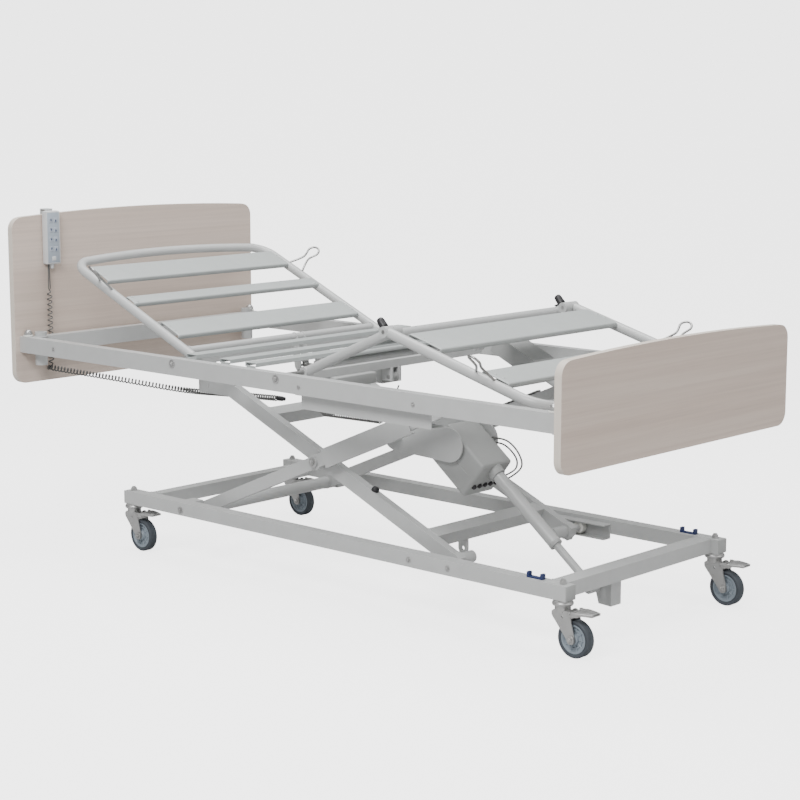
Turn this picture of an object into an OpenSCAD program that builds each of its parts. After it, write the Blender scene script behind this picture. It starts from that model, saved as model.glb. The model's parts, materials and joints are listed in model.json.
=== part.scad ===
// Adjustable hospital bed without its mattress.
// Origin on the floor under the middle of the bed, +X towards the foot end,
// +Y towards the far side, +Z up. Millimetres.

/* [Chassis] */
// Head end of the chassis side rails
chassis_head_x = -727; // [-735:1:-720]
// Foot end of the chassis side rails
chassis_foot_x = 1005; // [1000:1:1015]
// Width over the chassis side rails
chassis_width = 725; // [725:1:735]
// Height of the chassis rails' underside above the floor
chassis_z = 144; // [144:0.5:146]
// Side of the square chassis tube
chassis_tube = 40; // [40:1:42]

/* [Casters] */
// Diameter of the caster wheels
wheel_d = 100; // [96:1:100]
// Distance of the wheel axle behind the swivel axis
caster_trail = 43; // [40:1:44]
// Distance of the swivel axis from the end of its rail
stem_inset = 23; // [22:1:26]

/* [Scissor lift] */
// X of the two fixed pivots at the head end
fixed_pivot_x = -463; // [-467:1:-458]
// Height of the lower fixed pivot
lower_pivot_z = 152; // [150:1:154]
// Height of the upper fixed pivot in the pose drawn here
upper_pivot_z = 576; // [574:1:578]
// Distance along X from the fixed pivots to the rollers in this pose
roller_reach = 1000; // [990:1:1005]
// Outer face of the outer pair of legs, from the centre plane
outer_leg_y = 288; // [286:1:288]
// Outer face of the inner pair of legs, from the centre plane
inner_leg_y = 258; // [254:1:258]

/* [Platform] */
// Width over the platform side rails
platform_width = 976; // [970:1:980]
// Height of the side rails' underside in this pose
rail_z = 598; // [598:1:600]
// Height of the side rail tube
rail_h = 50; // [48:1:50]
// Head end of the platform side rails
rail_head_x = -1070; // [-1075:1:-1066]
// Foot end of the platform side rails
rail_foot_x = 1073; // [1070:1:1078]

/* [Boards] */
// Width of both boards
board_width = 1010; // [1000:1:1020]
// Thickness of both boards
board_t = 22; // [20:1:24]
// Top of the headboard at its middle
headboard_top_z = 1034; // [1000:1:1060]
// Top of the footboard at its middle
footboard_top_z = 792; // [770:1:820]
// Lower edge of both boards
board_bottom_z = 498; // [480:1:510]

/* [Sections] */
// Angle of the backrest above the horizontal in this pose
backrest_angle = 23.5; // [22:0.5:25]
// Angle of the thigh section above the horizontal in this pose
thigh_angle = 23.26; // [22:0.02:24]
// Angle of the calf section below the horizontal in this pose
calf_angle = 15.5; // [15:0.1:16]
// Diameter of the bent section tubes
section_tube = 28; // [26:1:28]
// Length of the backrest from its hinge to the top of its arch
backrest_len = 652; // [640:1:655]
// Length of the thigh section between its hinges
thigh_len = 364.6; // [360:0.2:366]
// Length of the calf section from the knee to its end tube
calf_len = 560; // [550:1:562]

/* [Hidden] */
$fn = 48;
eps = 0.01;
fit = 0.05;           // radial running clearance of every pivot
gap = 0.3;            // face clearance between parts that only touch

chassis_y = chassis_width / 2;
chassis_in_y = chassis_y - chassis_tube;
chassis_top = chassis_z + chassis_tube;
foot_cross_x0 = 931;
foot_cross_x1 = 981;
head_cross_x0 = -647;

wheel_r = wheel_d / 2;
caster_y = chassis_y - chassis_tube / 2;
head_stem_x = chassis_head_x + stem_inset;
foot_stem_x = chassis_foot_x - stem_inset;

leg_half = sqrt(pow(roller_reach / 2, 2) + pow((upper_pivot_z - lower_pivot_z) / 2, 2));
leg_len = 2 * leg_half;
leg_angle = atan2(upper_pivot_z - lower_pivot_z, roller_reach);
centre_x = fixed_pivot_x + roller_reach / 2;
centre_z = (upper_pivot_z + lower_pivot_z) / 2;
leg_w = 25;
leg_h = 42;
pivot_d = 20;
track_h = 44;
track_wall = 2.5;
roller_d = track_h - 2 * track_wall - 3;
roller_w = 18;
roller_axle_d = 14;
base_track_y1 = chassis_in_y;
base_track_y0 = outer_leg_y + 2;
upper_track_y1 = 460;
upper_track_y0 = 410;
base_track_x = [443, 637];
upper_track_x = [162, 638];
base_roller_y = (base_track_y0 + base_track_y1) / 2 + 1;
upper_roller_y = 437;

rail_y = platform_width / 2;
rail_w = 30;
rail_in_y = rail_y - rail_w;
rail_top = rail_z + rail_h;
low_cross_h = 24;      // low cross tubes that the sections fold down over

hinge_z = 640;
backrest_hinge_x = -342;
thigh_hinge_x = 91;
knee_x = thigh_hinge_x + thigh_len * cos(thigh_angle);
knee_z = hinge_z + thigh_len * sin(thigh_angle);
outer_bar_y = 400;     // backrest and calf side tubes
inner_bar_y = 368;     // thigh side tubes
hinge_pin_d = 12;
eye_w = 15;            // half width of a hinge eye
retainer_lean = 50;    // lean of the mattress retainers away from the bed
actuator_pin_d = 12;
slat_t = 12;
low_cross_w = 40;

hilo_y = -125;
lift_plate_y = 74;     // plates on the outer legs, either side of its housing
lift_cheek_y = 29;     // cheek of the lift bracket, beyond the actuator
hilo_foot = [908, 122];
hilo_top = [468, 467];
hilo_angle = atan2(hilo_top[1] - hilo_foot[1], hilo_foot[0] - hilo_top[0]);
hilo_len = norm(hilo_top - hilo_foot);
hilo_tube_d = 36;
hilo_rod_d = 22;
back_act_y = 62;
back_act_rear = [18, 572];
back_act_pin = [-367, 568];
knee_act_y = 62;
knee_act_pin = [398, 722];
knee_act_foot = [848, 520];

// ---------- shared shapes ----------

// Box between two corners
module block(x0, x1, y0, y1, z0, z1) {
  translate([x0, y0, z0]) cube([x1 - x0, y1 - y0, z1 - z0]);
}

// Round bar along Y
module bar_y(x, z, y0, y1, d) {
  translate([x, y1, z]) rotate([90, 0, 0]) cylinder(h = y1 - y0, d = d);
}

// Round bar along Z
module bar_z(x, y, z0, z1, d) {
  translate([x, y, z0]) cylinder(h = z1 - z0, d = d);
}

// Round bar along X
module bar_x(y, z, x0, x1, d) {
  translate([x0, y, z]) rotate([0, 90, 0]) cylinder(h = x1 - x0, d = d);
}

// Children and their mirror image on the other side of the bed
module both_sides() {
  children();
  mirror([0, 1, 0]) children();
}

// Local frame at (x, z), its +X turned up by the angle
module incline(x, z, angle) {
  translate([x, 0, z]) rotate([0, -angle, 0]) children();
}

// Plate with rounded ends between two points of the XZ plane
module link_plate(p, q, d, y0, y1) {
  translate([0, y1, 0]) rotate([90, 0, 0]) linear_extrude(y1 - y0)
    hull() {
      translate(p) circle(d = d, $fn = 32);
      translate(q) circle(d = d, $fn = 32);
    }
}

// ---------- chassis ----------

// Welded chassis: two side rails, two cross tubes, pivot lugs and the lift bracket
module chassis_frame() {
  color([0.83, 0.84, 0.84])
  difference() {
    union() {
      both_sides() {
        block(chassis_head_x, chassis_foot_x, chassis_in_y, chassis_y, chassis_z, chassis_top);
        // lug that carries the lower pivot pin
        block(fixed_pivot_x - 22, fixed_pivot_x + 22, outer_leg_y + 2, chassis_in_y,
              lower_pivot_z - 20, chassis_top);
      }
      block(head_cross_x0, head_cross_x0 + 40, -chassis_in_y, chassis_in_y, chassis_z, chassis_top);
      block(foot_cross_x0, foot_cross_x1, -chassis_in_y, chassis_in_y, chassis_z, chassis_top);
      lift_bracket();
    }
    both_sides() {
      rail_hollow();
      bar_y(fixed_pivot_x, lower_pivot_z, outer_leg_y, chassis_in_y + 12, pivot_d);
      for (x = [head_stem_x, foot_stem_x])
        bar_z(x, caster_y, chassis_z - 1, chassis_top + 1, 12);
    }
    bar_y(hilo_foot[0], hilo_foot[1], hilo_y - 60, hilo_y + 60, actuator_pin_d);
  }
}

// Inside of a chassis side rail, between its closed ends
module rail_hollow() {
  wall = 3;
  block(chassis_head_x + 45, fixed_pivot_x - 26, chassis_in_y + wall, chassis_y - wall,
        chassis_z + wall, chassis_top - wall);
  block(fixed_pivot_x + 26, chassis_foot_x - 45, chassis_in_y + wall, chassis_y - wall,
        chassis_z + wall, chassis_top - wall);
}

// Two cheeks under the foot cross tube that hold the lift actuator's rod end
module lift_bracket() {
  sheet = 6;
  rear = hilo_foot[0] - 18;
  front = hilo_foot[0] + 45;
  low = hilo_foot[1] - 52;
  y0 = hilo_y + lift_cheek_y - sheet / 2;
  translate([0, y0 + sheet, 0]) rotate([90, 0, 0]) linear_extrude(sheet)
    polygon([[rear, chassis_z + 12], [rear, chassis_z], [rear + 22, low + 2], [front, low],
             [front, chassis_z + eps], [foot_cross_x0 + eps, chassis_z + eps],
             [foot_cross_x0 + eps, chassis_z + 12]]);
  block(front - sheet, front, y0, y0 + 44, low, chassis_z + eps);
}

// C channel along X, its mouth towards the centre plane
module channel(x0, x1, y0, y1, zc) {
  difference() {
    block(x0, x1, y0, y1, zc - track_h / 2, zc + track_h / 2);
    block(x0 - 1, x1 + 1, y0 + track_wall, y1 - track_wall,
          zc - track_h / 2 + track_wall, zc + track_h / 2 - track_wall);
    block(x0 - 1, x1 + 1, y0 - 1, y0 + track_wall + eps, zc - roller_d / 2, zc + roller_d / 2);
  }
}

// The two tracks that the inner legs' rollers run in
module base_tracks() {
  color([0.80, 0.81, 0.81])
  both_sides() channel(base_track_x[0], base_track_x[1], base_track_y0, base_track_y1, lower_pivot_z);
}

// Dark blue clips that hold the mattress locking tool, on the foot ends of the rails
module rail_clips() {
  color([0.10, 0.14, 0.30])
  both_sides() translate([894, caster_y, chassis_top]) {
    block(-26, 26, -7, 7, 0, 4);
    for (s = [-1, 1]) block(s * 22 - 4, s * 22 + 4, -7, 7, 0, 15);
  }
}

// Threaded stems and nuts of the four casters
module caster_stems() {
  color([0.72, 0.72, 0.74])
  both_sides() for (x = [head_stem_x, foot_stem_x]) translate([x, caster_y, 0]) {
    bar_z(0, 0, chassis_z - 26, chassis_top + 13, 11.8);
    translate([0, 0, chassis_top]) cylinder(h = 9, d = 19, $fn = 6);
  }
}

// Pins pressed into the chassis: two for the outer legs, one for the lift actuator
module lower_pivot_pins() {
  color([0.60, 0.61, 0.63]) {
    both_sides() bar_y(fixed_pivot_x, lower_pivot_z, outer_leg_y - 55, chassis_in_y + 12, pivot_d);
    bar_y(hilo_foot[0], hilo_foot[1], hilo_y - 22, hilo_y + lift_cheek_y + 7, actuator_pin_d);
    bar_y(hilo_foot[0], hilo_foot[1], hilo_y - 22, hilo_y - 17, 19);
  }
}

// ---------- casters ----------

// Places a caster part drawn with its swivel axis at the origin and trail towards +X
module at_caster(x, side) {
  translate([x, side * caster_y, 0]) children();
}

pedal_pin = [40, 118];   // pivot of the wheel lock pedal

// Swivel housing, two arms, the riveted axle and the pedal's pin
module caster_fork() {
  color([0.74, 0.75, 0.76])
  difference() {
    union() {
      bar_z(0, 0, chassis_z - 12, chassis_z - 0.5, 50);
      bar_z(0, 0, chassis_z - 30, chassis_z - 11, 42);
      block(-20, 46, -21, 21, chassis_z - 36, chassis_z - 28);
      for (s = [-1, 1]) {
        y0 = s > 0 ? 17.5 : -21;
        link_plate([-8, chassis_z - 34], [caster_trail, wheel_r], 24, y0, y0 + 3.5);
        link_plate([26, chassis_z - 34], [caster_trail, wheel_r], 24, y0, y0 + 3.5);
        bar_y(caster_trail, wheel_r, y0 + s * 2, y0 + 3.5 + s * 2, 18);
      }
      bar_y(caster_trail, wheel_r, -20, 20, 10);
      bar_y(pedal_pin[0], pedal_pin[1], -28, 28, 6);
    }
    bar_z(0, 0, chassis_z - 31, chassis_z, 11.8 + 2 * fit);
  }
}

// Foot pedal of the wheel lock, above the tyre
module caster_pedal() {
  color([0.62, 0.63, 0.65])
  difference() {
    union() {
      translate([0, 0, pedal_pin[1]]) {
        linear_extrude(6)
          polygon([[58, -27], [64, -27], [106, -18], [106, 18], [64, 27], [58, 27]]);
        for (s = [-1, 1]) block(34, 62, s * 25.5 - 1.5, s * 25.5 + 1.5, -6, 6);
        block(58, 64, -27, 27, -6, 6);
      }
    }
    bar_y(pedal_pin[0], pedal_pin[1], -28, 28, 6 + 2 * fit);
  }
}

// Wheel centre with a raised hub
module wheel_hub() {
  color([0.55, 0.60, 0.66])
  difference() {
    union() {
      bar_y(caster_trail, wheel_r, -10, 10, wheel_d - 24);
      bar_y(caster_trail, wheel_r, -16, 16, 30);
    }
    for (s = [-1, 1]) difference() {
      bar_y(caster_trail, wheel_r, s * 10 - 4, s * 10 + 4, wheel_d - 36);
      bar_y(caster_trail, wheel_r, s * 10 - 4, s * 10 + 4, 36);
    }
    bar_y(caster_trail, wheel_r, -20, 20, 10 + 2 * fit);
  }
}

// Soft tyre, round across its tread
module tyre() {
  tyre_w = 28;
  color([0.20, 0.23, 0.26])
  translate([caster_trail, 0, wheel_r]) rotate([90, 0, 0])
    rotate_extrude($fn = 72)
      intersection() {
        translate([wheel_r - 12 + gap / 10, -tyre_w / 2]) square([12 - gap / 10, tyre_w]);
        translate([wheel_r - 26, 0]) circle(r = 26);
      }
}

module caster_fork_near_head() { at_caster(head_stem_x, -1) caster_fork(); }
module caster_pedal_near_head() { at_caster(head_stem_x, -1) caster_pedal(); }
module wheel_hub_near_head() { at_caster(head_stem_x, -1) wheel_hub(); }
module tyre_near_head() { at_caster(head_stem_x, -1) tyre(); }
module caster_fork_far_head() { at_caster(head_stem_x, 1) caster_fork(); }
module caster_pedal_far_head() { at_caster(head_stem_x, 1) caster_pedal(); }
module wheel_hub_far_head() { at_caster(head_stem_x, 1) wheel_hub(); }
module tyre_far_head() { at_caster(head_stem_x, 1) tyre(); }
module caster_fork_near_foot() { at_caster(foot_stem_x, -1) caster_fork(); }
module caster_pedal_near_foot() { at_caster(foot_stem_x, -1) caster_pedal(); }
module wheel_hub_near_foot() { at_caster(foot_stem_x, -1) wheel_hub(); }
module tyre_near_foot() { at_caster(foot_stem_x, -1) tyre(); }
module caster_fork_far_foot() { at_caster(foot_stem_x, 1) caster_fork(); }
module caster_pedal_far_foot() { at_caster(foot_stem_x, 1) caster_pedal(); }
module wheel_hub_far_foot() { at_caster(foot_stem_x, 1) wheel_hub(); }
module tyre_far_foot() { at_caster(foot_stem_x, 1) tyre(); }

// ---------- scissor legs ----------

outer_cross_s = 800;   // place of the outer legs' cross tube along the leg

// Outer legs: pivot low at the head end, rollers high at the foot end
module outer_legs() {
  y0 = outer_leg_y - leg_w;
  color([0.82, 0.83, 0.83])
  difference() {
    union() {
      incline(fixed_pivot_x, lower_pivot_z, leg_angle) {
        both_sides() {
          block(-20, leg_len - 26, y0, outer_leg_y, -18, 18);
          // bearing eyes at both ends
          bar_y(0, 0, y0, outer_leg_y, 42);
          bar_y(leg_len, 0, y0, outer_leg_y, 38);
          block(leg_len - 60, leg_len, y0, outer_leg_y, -15, 15);
          bar_y(leg_half, 0, y0, outer_leg_y, 46);
          // centre pivot: a stub axle inwards and its head outside
          bar_y(leg_half, 0, inner_leg_y - leg_w - 4, outer_leg_y, pivot_d);
          bar_y(leg_half, 0, outer_leg_y - 1, outer_leg_y + 6, 30);
        }
        bar_y(0, 0, -y0 - eps, y0 + eps, 38);
        block(outer_cross_s - 20, outer_cross_s + 20, -y0 - eps, y0 + eps, -20, 20);
      }
      // stub axles out to the rollers under the platform rails
      both_sides() {
        bar_y(fixed_pivot_x + roller_reach, upper_pivot_z, y0, upper_roller_y + 14, roller_axle_d);
        bar_y(fixed_pivot_x + roller_reach, upper_pivot_z, outer_leg_y - 1,
              upper_roller_y - roller_w / 2 - 2, 24);
      }
      lift_cheeks();
    }
    both_sides() {
      bar_y(fixed_pivot_x, lower_pivot_z, outer_leg_y - 55 - gap, outer_leg_y + 1,
            pivot_d + 2 * fit);
    }
  }
}

// Two sheet cheeks on the outer legs' cross tube that guide the rear of the lift actuator
module lift_cheeks() {
  cross = [fixed_pivot_x + outer_cross_s * cos(leg_angle),
           lower_pivot_z + outer_cross_s * sin(leg_angle)];
  for (s = [-1, 1]) {
    y = hilo_y + s * lift_plate_y;
    link_plate(cross, hilo_top + [4, -10], 96, y - 2.5, y + 2.5);
    // stub pin towards the actuator
    bar_y(hilo_top[0], hilo_top[1], s > 0 ? y - 8 : y, s > 0 ? y : y + 8, 24);
  }
}

// Folded covers over the upper halves of the outer legs
module leg_covers() {
  cover_d = 2.5;
  x0 = leg_half + 44;
  x1 = leg_half + 400;
  color([0.84, 0.85, 0.85])
  incline(fixed_pivot_x, lower_pivot_z, leg_angle)
    both_sides()
      difference() {
        block(x0, x1, outer_leg_y - 12, outer_leg_y + 6, -29, 27);
        block(x0 - 1, x1 + 1, outer_leg_y - 13, outer_leg_y + 6 - cover_d, -29 + cover_d, 27 - cover_d);
      }
}

// Rollers on the outer legs' stub axles
module upper_rollers() {
  color([0.92, 0.92, 0.90])
  both_sides() roller(fixed_pivot_x + roller_reach, upper_pivot_z, upper_roller_y);
}

// Rollers on the inner legs' stub axles
module lower_rollers() {
  color([0.92, 0.92, 0.90])
  both_sides() roller(fixed_pivot_x + roller_reach, lower_pivot_z, base_roller_y);
}

// One plain roller with a bore
module roller(x, z, y) {
  difference() {
    bar_y(x, z, y - roller_w / 2, y + roller_w / 2, roller_d);
    bar_y(x, z, y - roller_w, y + roller_w, roller_axle_d + 2 * fit);
  }
}

inner_bend_s = 140;    // length of the cranked top end of the inner legs

// Inner legs: pivot high at the head end, rollers low at the foot end
module inner_legs() {
  y0 = inner_leg_y - leg_w;
  color([0.82, 0.83, 0.83])
  difference() {
    union() {
      incline(fixed_pivot_x, upper_pivot_z, -leg_angle) {
        both_sides() {
          block(inner_bend_s - 12, leg_len + 20, y0, inner_leg_y, -leg_h / 2, leg_h / 2);
          bar_y(leg_len, 0, y0 - 1, inner_leg_y + 1, leg_h + 5);
          bar_y(leg_half, 0, y0 - 1, inner_leg_y + 1, 46);
        }
        for (s = [290, 975]) block(s - 20, s + 20, -y0 - eps, y0 + eps, -20, 20);
        // lug with a hole under the lower cross tube
        difference() {
          link_plate([975, -18], [990, -52], 34, -90, -84);
          bar_y(990, -52, -91, -83, 12);
        }
      }
      // cranked top end, level in this pose
      both_sides() {
        block(fixed_pivot_x - 26, fixed_pivot_x + inner_bend_s * cos(leg_angle) + 4, y0 + 0.5,
              inner_leg_y - 0.5, upper_pivot_z - 68, upper_pivot_z - 68 + leg_h);
        link_plate([fixed_pivot_x, upper_pivot_z], [fixed_pivot_x, upper_pivot_z - 44], 38, y0 - 1,
                   inner_leg_y + 1);
        bar_y(fixed_pivot_x + roller_reach, lower_pivot_z, y0, base_roller_y + roller_w / 2 + 2,
              roller_axle_d);
        bar_y(fixed_pivot_x + roller_reach, lower_pivot_z, inner_leg_y - 1,
              base_roller_y - roller_w / 2 - 1.5, 20);
        // stub tube towards the middle of the bed
        bar_y(fixed_pivot_x + roller_reach, lower_pivot_z, y0 - 56, y0 + 1, 34);
      }
    }
    both_sides() {
      bar_y(fixed_pivot_x, upper_pivot_z, y0 - 2, inner_leg_y + 2, pivot_d + 2 * fit);
      bar_y(centre_x, centre_z, y0 - 2, inner_leg_y + 2, pivot_d + 2 * fit);
    }
  }
}

// Black rubber stops on the inner faces of the inner legs
module leg_plugs() {
  color([0.08, 0.08, 0.09])
  incline(fixed_pivot_x, upper_pivot_z, -leg_angle)
    both_sides()
      translate([leg_half + 207, inner_leg_y - leg_w / 2, leg_h / 2]) {
        cylinder(h = 7, d = 23);
        translate([0, 0, 7]) cylinder(h = 6, d1 = 23, d2 = 15);
      }
}

// ---------- platform ----------

// Welded upper frame with its cross tubes, lugs and pole sockets
module platform_frame() {
  color([0.83, 0.84, 0.84])
  difference() {
    union() {
      both_sides() {
        block(rail_head_x, rail_foot_x, rail_in_y, rail_y, rail_z, rail_top);
        // pole socket at the head end
        bar_z(rail_head_x + 45, rail_in_y - 18, rail_z - 40, rail_top + 14, 38);
        inner_leg_lug();
      }
      // head and foot cross tubes, full height
      block(rail_head_x + 23, rail_head_x + 53, -rail_in_y, rail_in_y, rail_z, rail_top);
      block(rail_foot_x - 30, rail_foot_x, -rail_in_y, rail_in_y, rail_z, rail_top);
      // low cross tubes under the moving sections
      for (x = [fixed_pivot_x - 22, -13, 828])
        block(x, x + low_cross_w, -rail_in_y, rail_in_y, rail_z + 2, rail_z + 2 + low_cross_h);
      actuator_lugs();
    }
    both_sides() {
      block(rail_head_x + 70, rail_foot_x - 34, rail_in_y + 3, rail_y - 3, rail_z + 3, rail_top - 3);
      bar_z(rail_head_x + 45, rail_in_y - 18, rail_z - 41, rail_top + 15, 26);
      bar_y(fixed_pivot_x, upper_pivot_z, inner_leg_y - leg_w - 12, inner_leg_y + 4, pivot_d);
      for (x = [backrest_hinge_x, thigh_hinge_x])
        bar_y(x, hinge_z, rail_in_y - 1, rail_in_y + 16, hinge_pin_d);
      // board bolts
      for (x = [rail_head_x + 24, rail_foot_x - 24])
        bar_z(x, rail_y - rail_w / 2, rail_z - 1, rail_top + 1, 10);
    }
    bar_y(back_act_rear[0], back_act_rear[1], back_act_y - 40, back_act_y + 40, actuator_pin_d);
    bar_y(knee_act_foot[0], knee_act_foot[1], knee_act_y - 40, knee_act_y + 40, actuator_pin_d);
  }
}

// Double lug that holds the top pivot of an inner leg
module inner_leg_lug() {
  y1 = inner_leg_y - leg_w - 1.5;
  for (y = [[y1 - 6, y1], [inner_leg_y + 1.5 - eps, inner_leg_y + 4]])
    block(fixed_pivot_x - 24, fixed_pivot_x + 20, y[0], y[1], upper_pivot_z - 16, rail_z + 4);
}

// Lugs that hold the rear ends of the backrest and knee actuators
module actuator_lugs() {
  for (s = [-1, 1]) {
    y = back_act_y + s * 16;
    block(-7, 33, y - 2.5, y + 2.5, back_act_rear[1] - 12, rail_z + 4);
    yk = knee_act_y + s * 22;
    block(824, 872, yk - 2.5, yk + 2.5, knee_act_foot[1] - 30, rail_z + 4);
  }
}

// The two tracks under the side rails that the outer legs' rollers run in
module upper_tracks() {
  color([0.84, 0.85, 0.85])
  both_sides() {
    channel(upper_track_x[0], upper_track_x[1], upper_track_y0, upper_track_y1, upper_pivot_z);
    // flange bolted up under the side rail
    block(upper_track_x[0], upper_track_x[1], upper_track_y1 - eps, rail_y - 4, rail_z - track_wall, rail_z);
  }
}

// Three fixed seat slats between the side rails, with turned-down ends bolted to them
module seat_slats() {
  color([0.82, 0.84, 0.84])
  for (x = [-314, -170, -64]) {
    slat_bar(x, x + 44, rail_in_y, rail_top + 2);
    both_sides() block(x + 4, x + 40, rail_in_y - 3, rail_in_y, rail_top - 28, rail_top + 5);
  }
}

// Flat pressed slat along Y with turned-down edges
module slat_bar(x0, x1, half, z0) {
  difference() {
    block(x0, x1, -half, half, z0, z0 + slat_t);
    block(x0 + 2, x1 - 2, -half - 1, half + 1, z0 - 1, z0 + slat_t - 2);
  }
}

// Pins of the inner legs' top pivots and of the section hinges
module platform_pivot_pins() {
  color([0.60, 0.61, 0.63]) both_sides() {
    bar_y(fixed_pivot_x, upper_pivot_z, inner_leg_y - leg_w - 12, inner_leg_y + 4, pivot_d);
    bar_y(backrest_hinge_x, hinge_z, outer_bar_y - 15, rail_in_y + 14, hinge_pin_d);
    bar_y(thigh_hinge_x, hinge_z, inner_bar_y - 15, rail_in_y + 14, hinge_pin_d);
  }
  bar_y(back_act_rear[0], back_act_rear[1], back_act_y - 21, back_act_y + 21, actuator_pin_d);
  bar_y(knee_act_foot[0], knee_act_foot[1], knee_act_y - 27, knee_act_y + 27, actuator_pin_d);
}

// Board outline in the YZ plane: rounded corners and a gently arched top
module board_outline(top_z, arch) {
  h = top_z - board_bottom_z;
  r = 38;
  arc_r = (pow(board_width / 2, 2) + arch * arch) / (2 * arch);
  intersection() {
    translate([0, h / 2]) rounded_board(h, r, arch);
    translate([0, h - arc_r]) circle(r = arc_r, $fn = 360);
  }
}

module rounded_board(h, r, arch) {
  w = board_width / 2 - r;
  hull()
    for (sx = [-1, 1]) {
      translate([sx * w, -h / 2 + r]) circle(r = r, $fn = 48);
      translate([sx * w, h / 2 - r - arch * 0.9]) circle(r = r, $fn = 48);
    }
  translate([-w, 0]) square([2 * w, h / 2]);
}

module board(x, top_z, arch) {
  translate([x, 0, board_bottom_z]) rotate([90, 0, 90])
    linear_extrude(board_t) board_outline(top_z, arch);
}

// Laminated headboard, drilled for its fixing knobs
module headboard() {
  color([0.80, 0.76, 0.72])
  board(rail_head_x - board_t, headboard_top_z, 16);
}

// Laminated footboard
module footboard() {
  color([0.80, 0.76, 0.72])
  board(rail_foot_x, footboard_top_z, 14);
}

// Knobs and L brackets that hold the boards to the ends of the side rails
module board_knobs() {
  color([0.25, 0.26, 0.28])
  both_sides() for (x = [rail_head_x + 24, rail_foot_x - 24])
    translate([x, rail_y - rail_w / 2, rail_top]) {
      cylinder(h = 5, d = 22);
      translate([0, 0, 5]) cylinder(h = 9, d = 26);
      translate([0, 0, -rail_h - 4]) cylinder(h = rail_h + 5, d = 9.8);
    }
}

// Distribution box for the actuator cables, under a low cross tube
module cable_box() {
  color([0.62, 0.63, 0.62])
  block(-35, 49, -210, -40, rail_z - 30, rail_z + 2);
}

// Coiled cable of the handset, drawn as the space its coils fill
module handset_cable() {
  coil_d = 16;
  drop = [rail_head_x + 12, handset_y, rail_z - 57];
  turn = [drop[0] + 2, handset_y - 14, rail_z - 57];
  mid = [-620, -205, rail_z - 105];
  end = [-240, -160, rail_z - 95];
  color([0.55, 0.57, 0.58]) {
    bar_z(drop[0], drop[1], handset_z - 78, handset_z - gap, 7);
    bar_z(drop[0], drop[1], drop[2], handset_z - 78 + eps, coil_d);
    cable_run(drop, turn, coil_d - 1);
    cable_run(turn, mid, coil_d - 2);
    cable_run(mid, end, coil_d - 2);
  }
}

// Round bar between two points with a ball at its first end
module cable_run(p, q, d) {
  v = q - p;
  translate(p) {
    sphere(d = d);
    rotate([0, acos(v[2] / norm(v)), atan2(v[1], v[0])]) cylinder(h = norm(v), d = d - 0.4);
  }
}

// ---------- backrest ----------

// Local frame of the backrest: origin at its hinge, the bars run towards -X
module at_backrest() {
  translate([backrest_hinge_x, 0, hinge_z]) rotate([0, backrest_angle, 0]) children();
}

backrest_corner_r = 70;
arch_half = 8;         // half the angle that the arched top turns through

// Bent side tubes, arched top, lower cross tube and actuator lever
module backrest_frame() {
  corner = 90 - arch_half;
  end_y = outer_bar_y - backrest_corner_r * (1 - cos(corner));
  rise = end_y * (1 - cos(arch_half)) / sin(arch_half);
  straight = backrest_len - section_tube / 2 - backrest_corner_r * sin(corner) - rise;
  color([0.85, 0.86, 0.86])
  difference() {
    at_backrest() {
      both_sides() {
        bar_x(outer_bar_y, 0, -straight, -10, section_tube);
        bar_y(0, 0, outer_bar_y - eye_w, outer_bar_y + eye_w, 30);
        // corner bend
        translate([-straight, outer_bar_y - backrest_corner_r, 0])
          rotate([0, 0, 90]) rotate_extrude(angle = corner, $fn = 64)
            translate([backrest_corner_r, 0]) circle(d = section_tube, $fn = 32);
      }
      top_arch(backrest_len - section_tube / 2, end_y / sin(arch_half));
      bar_y(-44, 0, -outer_bar_y, outer_bar_y, 22);
      backrest_lever();
    }
    both_sides()
      bar_y(backrest_hinge_x, hinge_z, outer_bar_y - 16, outer_bar_y + 16, hinge_pin_d + 2 * fit);
  }
}

// Shallow arc through the apex that reaches a little way into both corner bends
module top_arch(apex, r) {
  reach = arch_half + 0.5;
  translate([r - apex, 0, 0])
    rotate([0, 0, 180 - reach]) rotate_extrude(angle = 2 * reach, $fn = 180)
      translate([r, 0]) circle(d = section_tube - 0.6, $fn = 32);
}

// Double lever that the backrest actuator pushes on
module backrest_lever() {
  local = rotate_point(back_act_pin - [backrest_hinge_x, hinge_z], backrest_angle);
  for (s = [-1, 1]) {
    y = back_act_y + s * 17;
    link_plate([-44, 0], local, 26, y - 2.5, y + 2.5);
  }
  bar_y(local[0], local[1], back_act_y - 19, back_act_y + 19, 8);
}

// Coordinates of a bed-frame offset in a local frame turned by rotate([0, a, 0])
function rotate_point(p, a) = [p[0] * cos(a) - p[1] * sin(a), p[0] * sin(a) + p[1] * cos(a)];

// Three pressed slats across the backrest
module backrest_slats() {
  color([0.80, 0.83, 0.83])
  at_backrest() {
    section_slat(-551, -457, 384);
    section_slat(-355, -309, 392);
    section_slat(-190, -104, 384);
  }
}

// Pressed slat with turned-down edges, resting on the section tubes
module section_slat(x0, x1, half) {
  z0 = section_tube / 2 + gap;
  lip = 2.5;
  block(x0, x1, -half, half, z0, z0 + 3);
  for (x = [x0, x1 - lip])
    block(x, x + lip, -half + 22, half - 22, z0 - 14, z0 + 1);
}

// Wire loop that keeps the mattress in place: a wide foot, a neck and a round head
module retainer_wire(h, foot, head) {
  wire = 5;
  rotate([90, 0, 0]) translate([0, 0, -wire / 2]) linear_extrude(wire)
    difference() {
      retainer_outline(h, foot, head, wire / 2);
      translate([0, wire]) retainer_outline(h - wire, foot, head, -wire / 2);
    }
}

module retainer_outline(h, foot, head, grow) {
  neck = head * 0.55 + grow;
  head_z = h - head;
  translate([0, head_z]) circle(r = head + grow, $fn = 64);
  polygon([[-foot - grow, 0], [foot + grow, 0], [neck, h * 0.45], [neck, head_z], [-neck, head_z],
           [-neck, h * 0.45]]);
}

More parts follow.
